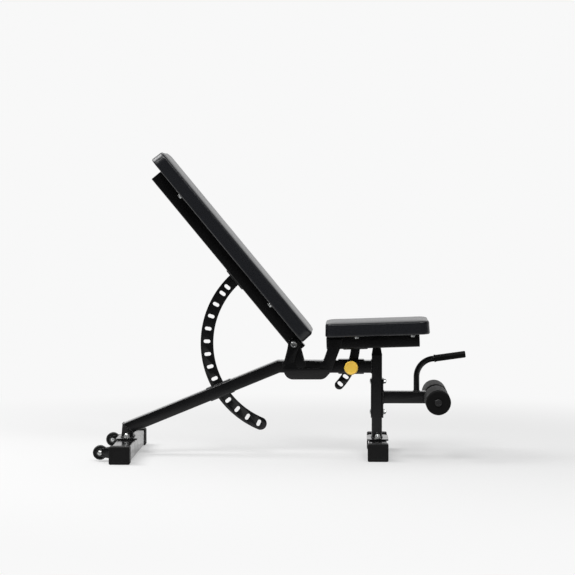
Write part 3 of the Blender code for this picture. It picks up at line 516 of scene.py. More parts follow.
spine = {
    "axisZ": 0.2930, "bendX": -0.0115, "slope": 22.3,
    "postX": 0.3116, "postDepth": 0.034, "postTop": 0.329, "capTop": 0.353,
    "legTopX": -0.5077, "legBottomX": -0.5107,
    "doubler": (0.084, 0.040, 0.006), "backDoubler": 0.003, "seatDoubler": 0.004,
}
foot = {
    "width": 0.060, "height": 0.050, "skin": 0.0035, "capLength": 0.040, "corner": 0.0048,
    "rearX": -0.5097, "rearLength": 0.600, "frontX": 0.314, "frontLength": 0.400,
    "flange": (0.070, 0.140, 0.008), "flangeThickness": 0.005, "boltY": 0.052,
}
ladders = {
    "thickness": 0.008, "notchWidth": 0.0115, "way": 0.003,
    "back": {"radius": 0.288, "width": 0.042, "notch": 0.022, "tail": 0.006,
             "steps": [-22.0] + [8.4 * step for step in range(-2, 11)]},
    "seat": {"radius": 0.202, "width": 0.030, "notch": 0.020, "tail": 0.005, "steps": (0.0, 11.0, 19.5)},
    "base": (0.080, 0.040, 0.006), "baseThickness": 0.003,
}
footMiddle = foot["height"] / 2 + foot["skin"]
flangeTop = footMiddle + foot["height"] / 2 + bench["gap"] + foot["flangeThickness"]
spineFront = spine["postX"] - spine["postDepth"] / 2 - bench["gap"]
legCorner = spine["axisZ"] - (spine["bendX"] - spine["legTopX"]) * math.tan(math.radians(spine["slope"]))
spinePath = [(spineFront, spine["axisZ"]), (spine["bendX"], spine["axisZ"]), (spine["legTopX"], legCorner),
             (spine["legBottomX"], flangeTop)]
spineSection = roundedRect(bench["tubeHeight"], bench["spineWidth"], bench["tubeCorner"])
backLock = middleOf("back_pin_barrel")
seatLock = middleOf("seat_pin_barrel")
backLockAngle = math.degrees(math.atan2(pivotZ - backLock.z, pivotX - backLock.x))
seatLockAngle = math.degrees(math.atan2(pivotZ - seatLock.z, seatLock.x - pivotX))
welds = {"frame": [], "back": [], "seat": []}


def ladderWay(kind, middle):
    # the arc-shaped way of a ladder through the spine
    ladder = ladders[kind]
    reach = ladder["width"] / 2 + ladders["way"]
    outline = (arc(ladder["radius"] + reach, middle - 18, middle + 18, 40)
               + arc(ladder["radius"] - reach, middle + 18, middle - 18, 40))
    way = plateMesh(outline, ladders["thickness"] + ladders["way"], edge=0.0003)
    return way, at(pivotX, 0, pivotZ, upright)


def makeSpine():
    ways = (ladderWay("back", 180 + backLockAngle), ladderWay("seat", 360 - seatLockAngle))
    tube = carved(loft(sweptRings(spinePath, spineSection)[:3]), *ways)
    addPiece("spineTube", tube, "coat", "frame", stands=("main_tube",))
    width, depth, corner = spine["doubler"]
    spots = (("Back", backLock, spine["slope"], spine["backDoubler"], ways[0]),
             ("Seat", seatLock, 0.0, spine["seatDoubler"], ways[1]))
    for label, spot, slope, thickness, way in spots:
        turn = Euler((0, -math.radians(slope), 0)).to_matrix().to_4x4()
        for place, sign in (("Upper", 1), ("Lower", -1)):
            lift = turn @ Vector((0, 0, sign * (bench["tubeHeight"] / 2 + thickness / 2)))
            matrix = at(spot.x + lift.x, 0, spot.z + lift.z, turn)
            doubler = plateMesh(roundedRect(width, depth, corner), thickness)
            doubler.transform(matrix)
            addPiece(f"slotDoubler{label}{place}", carved(doubler, way), "coat", "frame")
            foundation = Matrix.Translation(turn @ Vector((0, 0, -sign * thickness / 2))) @ matrix
            loop = [foundation @ Vector((x, y, 0)) for x, y in roundedRect(width, depth, corner)]
            welds["frame"].append(weldBead(loop, 0.0015))
    loop = uprightRing(bench["tubeHeight"], bench["spineWidth"], bench["tubeCorner"], spineFront,
                       spine["axisZ"])
    welds["frame"].append(weldBead(loop, 0.0021))
    welds["frame"].append(weldBead(sweptRings(spinePath, spineSection)[2], 0.0013))
    print("spine made")


def flangeMesh(x):
    width, depth, corner = foot["flange"]
    holes = [circle(0.0055, 32, 0, side * foot["boltY"]) for side in (1, -1)]
    plate = plateMesh(roundedRect(width, depth, corner), foot["flangeThickness"], holes)
    return plate, at(x, 0, flangeTop - foot["flangeThickness"] / 2)


def makeLegs():
    height, width, corner = bench["tubeHeight"], bench["spineWidth"], bench["tubeCorner"]
    top = [Vector(point) - Vector((0, 0, 0.0004)) for point in sweptRings(spinePath, spineSection)[2]]
    leg = loft([top, levelRing(height, width, corner, flangeTop, spine["legBottomX"])])
    addPiece("rearLeg", merged((leg, atRest), flangeMesh(foot["rearX"])), "coat", "frame",
             stands=("rear_leg",))
    welds["frame"].append(weldBead(levelRing(height, width, corner, flangeTop, spine["legBottomX"]),
                                   0.0024))

    depth = spine["postDepth"]
    post = loft([levelRing(depth, width, corner, z, spine["postX"]) for z in (flangeTop, spine["postTop"])])
    addPiece("frontPost", merged((post, atRest), flangeMesh(foot["frontX"])), "coat", "frame",
             stands=("front_post",))
    welds["frame"].append(weldBead(levelRing(depth, width, corner, flangeTop, spine["postX"]), 0.0024))

    # the cap tapers over a lip and has a shallow groove above it
    low, high = spine["postTop"] + bench["gap"], spine["capTop"]
    profile = eased([(0.0, low), (-0.0006, low), (-0.0006, low + 0.0042), (0.0012, low + 0.0050),
                     (0.0060, high - 0.0030), (0.0085, high)], 0.0012, 3)
    rings = [levelRing(depth - less, width - less, max(0.004, 0.006 - less / 4), z, spine["postX"])
             for less, z in profile]
    inset = [levelRing(depth - less, width - less, 0.004, z, spine["postX"])
             for less, z in ((0.0110, high + 0.0001), (0.0140, high - 0.0006))]
    addPiece("frontPostCap", loft(rings + inset), "rubber", "frame", stands=("front_post_cap",))
    print("legs made")


def coachBolt():
    # mushroom head under the foot, washer and dome nut on the flange
    low = 0.0007
    seat = flangeTop + bench["gap"]
    head = lathe([(0.0, low), (0.0060, low), (0.0095, low + 0.0012), (0.0100, 0.0032), (0.0, 0.0032)])
    shank = lathe([(0.0, 0.003), (0.005, 0.003), (0.005, seat), (0.0, seat)])
    washer = lathe([(0.0052, seat), (0.0108, seat), (0.0108, seat + 0.0016), (0.0052, seat + 0.0016)],
                   closed=True)
    base = seat + 0.0016
    flats, corner = 0.0170, 0.0097
    rings = [hexRing(flats, base, corner - 0.0008), hexRing(flats, base + 0.0006, corner),
             hexRing(flats, base + 0.0064, corner), hexRing(flats, base + 0.0076, corner - 0.0011)]
    for step in range(9):
        turn = math.radians(10 * step)
        rings.append([(x, y, base + 0.0076 + 0.0070 * math.sin(turn))
                      for x, y in circle(max(0.0076 * math.cos(turn), 0.0006), 72)])
    return merged((head, atRest), (shank, atRest), (washer, atRest), (loft(rings), atRest))


def makeFeet():
    bolt = coachBolt()
    for label, x, length in (("rear", foot["rearX"], foot["rearLength"]), ("front", foot["frontX"],
                                                                         foot["frontLength"])):
        end = length / 2
        half = end - foot["skin"] - bench["gap"]
        wall = roundedRect(foot["width"], foot["height"], bench["tubeCorner"])
        tube = loft([[(x + px, y, footMiddle + pz) for px, pz in wall] for y in (-half, half)])
        addPiece(f"{label}FootTube", tube, "coat", "frame", stands=(f"{label}_foot_tube",))

        # a moulded cap: a rolled lip at its mouth, eased corners and a sunk panel in its end
        skin = 2 * foot["skin"]
        panel = ((-0.0090, end), (-0.0105, end - 0.0007), (-0.0400, end - 0.0007))
        profile = eased([(0.0006, end - foot["capLength"]), (skin - 0.0010, end - foot["capLength"]),
                         (skin, end - foot["capLength"] + 0.0010), (skin, end - 0.0016),
                         (skin - 0.0030, end), (-0.0080, end)], 0.0010, 3)
        rings = [[(px, pz, y) for px, pz in roundedRect(foot["width"] + more, foot["height"] + more,
                                                         max(foot["corner"] + min(more - skin, 0) / 3,
                                                             0.003))]
                 for more, y in (*profile, *panel)]
        for side, name, sign, turn in sides:
            addPiece(f"{label}FootCap{name}", loft(rings), "rubber", "frame", at(x, 0, footMiddle, turn),
                     stands=(f"{label}_foot_cap_{side}",))
            addPiece(f"{label}FootBolt{name}", bolt.copy(), "zinc", "frame",
                     at(x, sign * foot["boltY"], 0), stands=(f"{label}_foot_bolt_{side}",))
    print("feet made")


wheels = {
    "radius": 0.0233, "width": 0.020, "y": 0.1975, "fork": 0.004, "nose": 0.0125, "boltHead": 0.0075,
}


def makeWheels():
    half, radius = wheels["width"] / 2, wheels["radius"]
    centre = middleOf("wheel_left")
    profile = [(0.0043, -half), (0.0090, -half), (0.0100, -half + 0.0020), (0.0155, -half + 0.0020),
               (0.0170, -half), (radius - 0.0022, -half), (radius, -half + 0.0024), (radius, half - 0.0024),
               (radius - 0.0022, half), (0.0170, half), (0.0155, half - 0.0020), (0.0100, half - 0.0020),
               (0.0090, half), (0.0043, half)]
    wheel = lathe(profile, 0.0007, 96, closed=True)
    inner = half + 0.001
    face = foot["rearX"] - foot["width"] / 2 - bench["gap"] - centre.x
    thick = wheels["fork"]
    armLine = arc(wheels["nose"], 110, 250, 24) + eased([(face, -0.0195, 0), (face, 0.0185, 0)], 0.001)
    arm = plateMesh(armLine, thick, [circle(0.0043, 32)])
    rim = roundedRect(2 * (inner + thick), 0.0385, 0.0015)
    web = plateMesh(rim, thick)
    bolt = {"outside": inner + thick + bench["gap"], "headHeight": 0.0052}
    low, r = bolt["outside"], wheels["boltHead"]
    head = loft([hexRing(0.0050, low + 0.0022, 1), hexRing(0.0050, low + bolt["headHeight"], 1)]
                + [[(x, y, z) for x, y in circle(rr, 72)] for rr, z in
                   eased([(0.0036, low + bolt["headHeight"]), (0.0052, low + bolt["headHeight"]),
                          (r, low + 0.0036), (r, low), (0.004, low), (0.004, low - 0.030)], 0.0008, 3)])
    nut = loft([hexRing(0.0125, -z, limit) for z, limit in
                ((low, 0.0064), (low + 0.0007, 0.0071), (low + 0.0056, 0.0071), (low + 0.0064, 0.0063))])
    tip = lathe([(0.0, -low - 0.0085), (0.0032, -low - 0.0085), (0.0040, -low - 0.0078), (0.0040, 0.0),
                 (0.0, 0.0)], 0.0003)
    for side, name, sign, turn in sides:
        y = sign * wheels["y"]
        place = at(centre.x, y, centre.z)
        addPiece(f"wheel{name}", wheel.copy(), "wheel", f"wheel_{side}", place @ turn,
                 stands=(f"wheel_{side}",))
        arms = [(arm, at(0, s * (inner + thick / 2), 0, upright)) for s in (1, -1)]
        standing = at(face - thick / 2, 0, -0.0005, facingFront)
        addPiece(f"wheelFork{name}", merged(*arms, (web, standing)), "coat", "frame", place,
                 stands=(f"wheel_bracket_{side}",))
        addPiece(f"wheelBolt{name}", merged((head, atRest), (nut, atRest), (tip, atRest)), "zinc", "frame",
                 place @ turn, stands=(f"wheel_bolt_{side}",))
        welds["frame"].append(weldBead([place @ Vector((face, py, pz)) for py, pz in rim], 0.0014))
    print("wheels made")


pivot = {
    "cheekInner": 0.0303, "cheekThickness": 0.004, "plateInner": 0.0353, "plateThickness": 0.005,
    "bolt": 0.008, "washer": 0.0125, "head": 0.0102, "socket": 0.0100,
}


def makePivot():
    base, low, eye = (-0.0366, 0.0370), -0.084, 0.0198
    outline = arc(eye, -14, 194, 48) + [(base[0], low + 0.012), (base[0] + 0.004, low),
                                        (base[1] - 0.004, low), (base[1], low + 0.012)]
    for side, name, sign, turn in sides:
        cheek = plateMesh(outline, pivot["cheekThickness"], [circle(0.0083, 48)])
        y = sign * (pivot["cheekInner"] + pivot["cheekThickness"] / 2)
        addPiece(f"pivotCheek{name}", cheek, "coat", "frame", at(pivotX, y, pivotZ, upright),
                 stands=(f"pivot_cheek_{side}",))
        inside = sign * pivot["cheekInner"]
        run = [(pivotX + x, inside, pivotZ + z) for x, z in
               ((base[0], -0.058), (base[0], low + 0.012), (base[0] + 0.004, low), (base[1] - 0.004, low),
                (base[1], low + 0.012), (base[1], -0.058))]
        welds["frame"].append(weldBead(run, 0.0019, closed=False))

    out = pivot["plateInner"] + pivot["plateThickness"] + bench["gap"]
    washer = lathe([(pivot["bolt"] + 0.0002, out), (pivot["washer"], out), (pivot["washer"], out + 0.0015),
                    (pivot["bolt"] + 0.0002, out + 0.0015)], closed=True)
    low = out + 0.0015
    rim = eased([(0.0064, low + 0.0085), (0.0092, low + 0.0085), (pivot["head"], low + 0.0072),
                 (pivot["head"], low), (pivot["bolt"], low), (pivot["bolt"], -out - 0.0120)], 0.0006, 3)
    head = loft([hexRing(pivot["socket"], low + 0.0010, 1), hexRing(pivot["socket"], low + 0.0080, 1)]
                + [[(x, y, z) for x, y in circle(radius, 72)] for radius, z in rim])
    addPiece("pivotBolt", head, "zinc", "frame", at(pivotX, 0, pivotZ, toRight), stands=("pivot_bolt",))
    nut = [hexRing(0.0218, z, limit) for z, limit in
           ((low, 0.0112), (low + 0.0010, 0.0124), (low + 0.0066, 0.0124), (low + 0.0078, 0.0108))]
    collar = [[(x, y, z) for x, y in circle(radius, 72)] for radius, z in
              ((0.0096, low + 0.0080), (0.0094, low + 0.0096), (0.0082, low + 0.0102))]
    addPiece("pivotNut", loft(nut + collar), "zinc", "frame", at(pivotX, 0, pivotZ, toLeft),
             stands=("pivot_nut",))
    for side, name, sign, turn in sides:
        addPiece(f"pivotWasher{name}", washer.copy(), "nylon", "frame", at(pivotX, 0, pivotZ, turn))
    print("pivot made")


holder = {
    "armWidth": 0.040, "armZ": 0.192, "armEnd": 0.5275, "plateZ": (0.125, 0.254), "boltsZ": (0.143, 0.244),
    "plate": 0.004, "backing": 0.0025, "axle": 0.010, "roller": 0.0405, "inner": 0.021, "outer": 0.212,
}


def makeLegHolder():
    plateBack = spine["postX"] + spine["postDepth"] / 2 + bench["gap"]
    plateFront = plateBack + holder["plate"]
    middle = sum(holder["plateZ"]) / 2
    tall = holder["plateZ"][1] - holder["plateZ"][0]
    holes = [circle(0.0053, 32, 0, z - middle) for z in holder["boltsZ"]]
    outline = roundedRect(bench["spineWidth"], tall, 0.004)
    height, width, corner = bench["tubeHeight"], holder["armWidth"], bench["tubeCorner"]
    armEnd = holder["armEnd"] - bench["plug"]
    arm = loft([uprightRing(height, width, corner, x, holder["armZ"]) for x in (plateFront, armEnd)])
    axis = middleOf("roller_axle")
    way = lathe([(0.0, -0.05), (holder["axle"] + 0.0006, -0.05), (holder["axle"] + 0.0006, 0.05),
                 (0.0, 0.05)])
    arm = carved(arm, (way, at(axis.x, 0, axis.z, toLeft)))
    front = plateMesh(outline, holder["plate"], holes)
    addPiece("legHolderArm", merged((arm, atRest),
                                    (front, at(plateFront - holder["plate"] / 2, 0, middle, facingFront))),
             "coat", "frame", stands=("leg_holder_arm",))
    welds["frame"].append(weldBead(uprightRing(height, width, corner, plateFront, holder["armZ"]), 0.0024))
    makePlug(height, width, "legHolderArmPlug", "frame", at(armEnd, 0, holder["armZ"], toFront))

    backingFront = spine["postX"] - spine["postDepth"] / 2 - bench["gap"]
    backing = plateMesh(outline, holder["backing"], holes)
    addPiece("legHolderBacking", backing, "coat", "frame",
             at(backingFront - holder["backing"] / 2, 0, middle, facingFront),
             stands=("leg_holder_backing_plate",))
    head = backingFront - holder["backing"] - bench["gap"]
    nut = plateFront + bench["gap"]
    dome = lathe([(0.0, head - 0.0036), (0.0042, head - 0.0034), (0.0076, head - 0.0022),
                  (0.0090, head - 0.0005), (0.0090, head), (0.0050, head), (0.0050, nut + 0.0095),
                  (0.0, nut + 0.0095)], 0.0012)
    washer = lathe([(0.0053, nut), (0.0098, nut), (0.0098, nut + 0.0012), (0.0053, nut + 0.0012)],
                   closed=True)
    hexNut = loft([hexRing(0.0150, nut + z, limit) for z, limit in
                   ((0.0012, 0.0078), (0.0018, 0.0086), (0.0070, 0.0086), (0.0078, 0.0077))])
    for label, z in zip(("lower", "upper"), holder["boltsZ"]):
        addPiece(f"legHolderBolt{label.title()}",
                 merged((dome, atRest), (washer, atRest), (hexNut, atRest)), "zinc", "frame",
                 at(0, 0, z, toFront), stands=(f"leg_holder_bolt_{label}",))

    reach = holder["outer"] + 0.0015
    axle = lathe([(0.008, -reach), (holder["axle"], -reach), (holder["axle"], reach), (0.008, reach)],
                 closed=True)
    addPiece("rollerAxle", axle, "coat", "frame", at(axis.x, 0, axis.z, toLeft), stands=("roller_axle",))
    inner, outer, radius = holder["inner"], holder["outer"], holder["roller"]
    foam = [(0.0103, inner), (radius, inner, 0.0070), (radius, outer, 0.0070), (0.0103, outer)]
    cap = [(0.0, reach - 0.0135), (0.0077, reach - 0.0135), (0.0077, reach), (0.0113, reach),
           (0.0115, reach + 0.0012), (0.0098, reach + 0.0030), (0.0070, reach + 0.0034),
           (0.0064, reach + 0.0026), (0.0, reach + 0.0026)]
    for side, name, sign, turn in sides:
        roller = lathe(subdivided(foam, 0.004), 0.0012, 96, closed=True)
        for vertex in roller.vertices:
            outward = Vector((vertex.co.x, vertex.co.y, 0))
            lump = noise.noise(vertex.co * 38 + Vector((0, 0, 3 * sign)))
            vertex.co += outward.normalized() * 0.0005 * lump * min(1, outward.length / radius)
        piece = addPiece(f"foamRoller{name}", roller, "foam", f"roller_{side}", at(axis.x, 0, axis.z, turn),
                         stands=(f"foam_roller_{side}",), sharp=60)
        addPiece(f"rollerEndCap{name}", lathe(cap, 0.0005), "nylon", "frame", at(axis.x, 0, axis.z, turn),
                 stands=(f"roller_end_cap_{side}",))
    print("leg holder made")


def subdivided(profile, spacing):
    # a closed profile with its corners eased and extra points along its long runs
    softened = eased(profile, 0.0004, 6, closed=True)
    points = []
    for start, end in zip(softened, softened[1:] + softened[:1]):
        run = Vector(end) - Vector(start)
        count = max(1, round(run.length / spacing))
        points += [(*(Vector(start) + run * i / count), 0.0) for i in range(count)]
    return points


def makePlug(height, width, name, body, matrix):
    # a moulded end plug: a thin flange that covers the tube's wall, with a slightly domed face
    rings = [levelRing(height - less, width - less, max(0.004 - less / 4, 0.0015), z)
             for less, z in ((0.0052, -0.012), (0.0052, 0.0), (0.0004, 0.0), (0.0, 0.0006),
                             (0.0006, 0.0014), (0.0030, 0.0020), (0.0100, 0.0024), (0.0200, 0.0026))]
    addPiece(name, loft(rings), "nylon", body, matrix)


handle = {"x": 0.442, "radius": 0.00975, "bend": 0.060, "bendZ": 0.259, "rise": 8.0, "grip": 0.0112,
          "gripLength": 0.104, "reach": 0.604}


def makeHandle():
    rise = math.radians(handle["rise"])
    centre = (handle["x"] + handle["bend"], handle["bendZ"])
    bend = arc(handle["bend"], 180, 90 + handle["rise"], 30, centre)
    along = Vector((math.cos(rise), math.sin(rise)))
    run = (handle["reach"] - handle["grip"] * math.sin(rise) - bend[-1][0]) / along.x
    armTop = holder["armZ"] + bench["tubeHeight"] / 2
    tubeEnd = Vector(bend[-1]) + along * (run - 0.0033)
    path = [(handle["x"], armTop + bench["gap"])] + bend + [tuple(tubeEnd)]
    addPiece("handleTube", loft(sweptRings(path, circle(handle["radius"], 40))), "coat", "frame",
             stands=("handle_tube",))
    welds["frame"].append(weldBead([(handle["x"] + x, y, armTop) for x, y in circle(handle["radius"], 40)],
                                   0.0022))

    # the grip: a collar at its mouth, shallow rings along it and a closed round end
    bore, radius, length = handle["radius"] + bench["gap"], handle["grip"], handle["gripLength"]
    profile = [(bore, 0.0), (radius + 0.0012, 0.0), (radius + 0.0012, 0.0045), (radius, 0.0062)]
    rings = 26
    for ring in range(rings):
        z = 0.010 + ring * (length - 0.022) / rings
        profile += [(radius, z), (radius - 0.00035, z + 0.0010), (radius, z + 0.0020)]
    profile += [(radius, length - 0.0025), (radius - 0.0018, length), (0.0035, length),
                (0.0030, length - 0.0010), (0.0, length - 0.0010)]
    start = Vector(bend[-1]) + along * (run - length)
    lean = Euler((0, math.pi / 2 - rise, 0)).to_matrix().to_4x4()
    addPiece("handleGrip", lathe([(0.0, length - 0.0028), (bore, length - 0.0028)] + profile, 0.0005),
             "gripRubber", "frame", at(start.x, 0, start.y, lean), stands=("handle_grip",), sharp=50)
    print("handle made")


lockPin = {
    "barrel": 0.011, "barrelEnd": 0.062, "knob": 0.0225, "wire": 0.0006, "coil": 0.00615,
    "coilTurns": 4, "springLength": 0.0085,
}


def makeLockPin(label, x, z, turn):
    face = bench["spineWidth"] / 2 + bench["gap"]
    collar, mouth = face + 0.004, lockPin["barrelEnd"]
    barrel = lathe([(0.0073, face), (lockPin["barrel"] + 0.0015, face),
                    (lockPin["barrel"] + 0.0015, face + 0.0030), (lockPin["barrel"], face + 0.0045),
                    (lockPin["barrel"], mouth - 0.0010), (lockPin["barrel"] - 0.0010, mouth),
                    (0.0053, mouth), (0.0053, mouth - 0.004), (0.0073, mouth - 0.004)], 0.0005, closed=True)
    where = at(x, 0, z, turn)
    addPiece(f"{label}PinBarrel", barrel, "coat", "frame", where, stands=(f"{label}_pin_barrel",))
    nose = ladders["thickness"] / 2 + 0.0006
    plunger = lathe([(0.0, nose), (0.0035, nose), (0.0050, nose + 0.002), (0.0050, collar),
                     (0.0069, collar), (0.0069, collar + 0.004), (0.0050, collar + 0.004),
                     (0.0050, mouth + 0.0130), (0.0, mouth + 0.013)],
                    0.0003, 48)
    addPiece(f"{label}PinPlunger", plunger, "zinc", f"{label}_pin", where, stands=(f"{label}_pin_plunger",))
    # a round pull knob: a neck, a rolled rim and a shallow dish in its face
    back, r = mouth + 0.001, lockPin["knob"]
    knob = lathe([(0.0053, back), (0.0090, back), (0.0105, back + 0.0050),
                  (r - 0.0030, back + 0.0065, 0.0015), (r, back + 0.0090, 0.0018),
                  (r, back + 0.0172, 0.0022), (r - 0.0022, back + 0.0208, 0.0016),
                  (r - 0.0040, back + 0.0210, 0.0010), (r - 0.0056, back + 0.0196, 0.0012),
                  (0.0040, back + 0.0190, 0.002), (0.0, back + 0.0190)], 0.0006, 96)
    addPiece(f"{label}PinKnob", knob, "knob", f"{label}_pin", where, stands=(f"{label}_pin_knob",))
    wire, turns = lockPin["wire"], lockPin["coilTurns"]
    start = collar + 0.004 + 2 * bench["gap"] + wire
    pitch = (lockPin["springLength"] - 2 * wire) / turns
    rings = []
    for step in range(turns * 28 + 1):
        angle = 2 * math.pi * step / 28
        rings.append([((lockPin["coil"] + dr) * math.cos(angle), (lockPin["coil"] + dr) * math.sin(angle),
                       start + pitch * step / 28 + dz) for dr, dz in circle(wire, 8)])
    addPiece(f"{label}PinSpring", loft(rings), "zinc", f"{label}_pin", where,
             stands=(f"{label}_pin_spring",))
    ring = [where @ Vector((px, py, face)) for px, py in circle(lockPin["barrel"] + 0.0015, 40)]
    welds["frame"].append(weldBead(ring, 0.0013))


makeSpine()
makeLegs()
makeFeet()
makeWheels()
makePivot()
makeLegHolder()
makeHandle()
makeLockPin("back", backLock.x, backLock.z, toLeft)
makeLockPin("seat", seatLock.x, seatLock.z, toRight)
print("lock pins made")


def ladderPoint(radius, angle):
    return radius * math.cos(math.radians(angle)), -radius * math.sin(math.radians(angle))


def notchLoop(radius, angle, length):
    width = ladders["notchWidth"]
    half = (length - width) / 2
    ends = arc(width / 2, -90, 90, 14, (half, 0)) + arc(width / 2, 90, 270, 14, (-half, 0))
    turn = -math.radians(angle)
    x, z = ladderPoint(radius, angle)
    return [(x + px * math.cos(turn) - pz * math.sin(turn), z + px * math.sin(turn) + pz * math.cos(turn))
            for px, pz in ends]


def makeLadder(kind, tubeFace, firstAngle, matrix):
    # an arched plate about the pivot with round-ended notches, on a base welded to the tube
    ladder = ladders[kind]
    radius, width = ladder["radius"], ladder["width"]
    angles = [firstAngle + step for step in ladder["steps"]]
    face = tubeFace - bench["gap"]
    baseBottom = face - ladders["baseThickness"]
    outer, inner = radius + width / 2, radius - width / 2
    last = angles[-1] + math.degrees(ladder["tail"] / radius)
    start = 0.0005 - baseBottom
    steps = math.ceil(last / 2)
    outline = arc(outer, -math.degrees(math.asin(start / outer)), -last, steps)
    outline += arc(width / 2, -last, -last - 180, 28, ladderPoint(radius, last))[1:-1]
    outline += arc(inner, -last, -math.degrees(math.asin(start / inner)), steps)
    plate = plateMesh(outline, ladders["thickness"],
                      [notchLoop(radius, angle, ladder["notch"]) for angle in angles])
    length, depth, corner = ladders["base"]
    middle = radius * 0.995
    base = plateMesh(roundedRect(length, depth, corner), ladders["baseThickness"])
    addPiece(f"{kind}Ladder", merged((plate, upright), (base, at(middle, 0, (face + baseBottom) / 2))),
             "coat", kind, matrix, stands=(f"{kind}_ladder",))
    welds[kind].append(weldBead([matrix @ Vector((middle + px, py, face)) for px, py in
                                 roundedRect(length, depth, corner)], 0.0014))
    for sign in (1, -1):
        y = sign * ladders["thickness"] / 2
        run = [matrix @ Vector((x, y, baseBottom)) for x in (inner + 0.001, outer - 0.001)]
        welds[kind].append(weldBead(run, 0.0024, closed=False))


def hexBolt(flats, height):
    # a hex head with its chamfer, a washer under it and the start of its thread; the joint face is Z = 0
    corner = flats / math.sqrt(3)
    head = loft([hexRing(flats, z, limit) for z, limit in
                 ((-0.0016, corner), (-0.0016 - height + 0.0007, corner),
                  (-0.0016 - height, flats / 2 - 0.0003))])
    washer = lathe([(0.0043, -0.0016), (0.0080, -0.0016), (0.0080, 0.0), (0.0043, 0.0)], closed=True)
    shank = lathe([(0.0, -0.002), (0.004, -0.002), (0.004, 0.006), (0.0, 0.006)])
    return merged((head, atRest), (washer, atRest), (shank, atRest))


def makeTube(kind, part, width, plugNames, matrix):
    # the tube along the middle of the back or the seat, with a plug in each end
    height, axis = bench["tubeHeight"], part["axis"]
    start, end = part["tubeStart"] + bench["plug"], part["tubeEnd"] - bench["plug"]
    tube = loft([uprightRing(height, width, bench["tubeCorner"], x, axis) for x in (start, end)])
    addPiece(f"{kind}Tube", tube, "coat", kind, matrix, stands=(f"{kind}_tube",))
    for name, x, turn in zip(plugNames, (end, start), (toFront, toRear)):
        makePlug(height, width, f"{kind}TubePlug{name}", kind, matrix @ at(x, 0, axis, turn))


brackets = {"length": 0.120, "width": 0.040, "thickness": 0.004, "hole": 0.0045, "boltY": 0.045}


def makeBrackets(kind, names, places, tubeTop, tubeWidth, matrix):
    bolt = hexBolt(0.013, 0.0052)
    thickness, gap = brackets["thickness"] - bench["gap"], bench["gap"]
    for name, along in zip(names, places):
        holes = [circle(brackets["hole"], 32, 0, sign * brackets["boltY"]) for sign in (1, -1)]
        bracket = plateMesh(roundedRect(brackets["width"], brackets["length"], 0.006), thickness, holes)
        addPiece(f"{kind}Bracket{name.title()}", bracket, "coat", kind,
                 matrix @ at(along, 0, tubeTop + gap + thickness / 2), stands=(f"{kind}_bracket_{name}",))
        for mark, sign in (("A", 1), ("B", -1)):
            addPiece(f"{kind}PadBolt{name.title()}{mark}", bolt.copy(), "zinc", kind,
                     matrix @ at(along, sign * brackets["boltY"], tubeTop + gap))
        reach = tubeWidth / 2 - 0.005
        for end in (1, -1):
            x = along + end * brackets["width"] / 2
            run = [matrix @ Vector((x, y, tubeTop)) for y in (-reach, reach)]
            welds[kind].append(weldBead(run, 0.0018, closed=False))


pads = {
    "width": 0.260, "corner": 0.030, "hem": 0.026, "run": 0.007, "bottomEdge": 0.006, "topRows": 14,
    # the upholstered edge as (inset, drop below the top): shoulder, seam, edge of the top panel
    "edge": ((0.0, 0.0140), (0.0, 0.0110), (0.0001, 0.0088), (0.0003, 0.0072), (0.0006, 0.0062),
             (0.0010, 0.0055), (0.0021, 0.0050), (0.0014, 0.0045), (0.0018, 0.0038), (0.0032, 0.0030),
             (0.0062, 0.0022), (0.0110, 0.0014), (0.0180, 0.0007), (0.0270, 0.0002), (0.0360, 0.0)),
    "stitchDrop": 0.0088, "stitch": 0.0052,
    "voxel": 0.0052,         # grid that the cover is simulated on
    "cap": 0.0022,           # how far a point of the cover may move
    "shrink": 0.0014,        # how much smaller the shape starts
    "pressure": 4.0, "frames": 20,
    "stapledBelow": 0.0045,  # the part of the cover that can't move
    "near": 14,              # grid points that move one point of the cover
    "evening": 24,           # rounds of evening out
    "foldReach": 0.070, "foldBand": 0.030, "foldDepth": 0.0007, "rippleDepth": 0.00020,
    "clothThickness": 0.0008,
}


def coverRing(length, width, radius, z, runs, steps=8):
    # a rounded rectangle with the same number of points at every size
    halfX, halfY = length / 2 - radius, width / 2 - radius
    corners = [arc(radius, 90 * k, 90 * k + 90, steps, (sx * halfX, sy * halfY))
               for k, (sx, sy) in enumerate(((1, 1), (-1, 1), (-1, -1), (1, -1)))]
    ring = []
    for k, corner in enumerate(corners):
        start, end, count = Vector(corner[-1]), Vector(corners[(k + 1) % 4][0]), runs[k % 2]
        ring += corner + [tuple(start.lerp(end, i / count)) for i in range(1, count)]
    return [(x, y, z) for x, y in ring]


def coverRows(width, thickness):
    # (size taken off, height) rows: from under the board, round the bottom edge and up to the top
    low = pads["bottomEdge"]
    rows = [(0.080, 0.0), (0.030, 0.0)]
    rows += [(2 * low * (1 - math.sin(math.radians(15 * k))), low * (1 - math.cos(math.radians(15 * k))))
             for k in range(7)]
    side = thickness - pads["edge"][0][1] - low
    rows += [(0.0, low + side * k / 6) for k in range(1, 6)]
    rows += [(2 * inset, thickness - drop) for inset, drop in pads["edge"]]
    reach, count = 2 * pads["edge"][-1][0], pads["topRows"]
    rows += [(reach + (width - 0.016 - reach) * k / count, thickness) for k in range(1, count + 1)]
    return rows


def coverShape(length, width, thickness, corner):
    runs = (round(length / pads["run"]), round(width / pads["run"]))
    rings = [coverRing(length - less, width - less, max(corner - less / 2, 0.004), z, runs)
             for less, z in coverRows(width, thickness)]
    return loft(rings), len(rings[0])


def remeshed(mesh, size):
    holder = bpy.data.objects.new("block", mesh.copy())
    bpy.context.scene.collection.objects.link(holder)
    grid = holder.modifiers.new("grid", "REMESH")
    grid.mode = "VOXEL"
    grid.voxel_size = size
    result = bpy.data.meshes.new_from_object(holder.evaluated_get(bpy.context.evaluated_depsgraph_get()))
    bpy.data.objects.remove(holder)
    return result


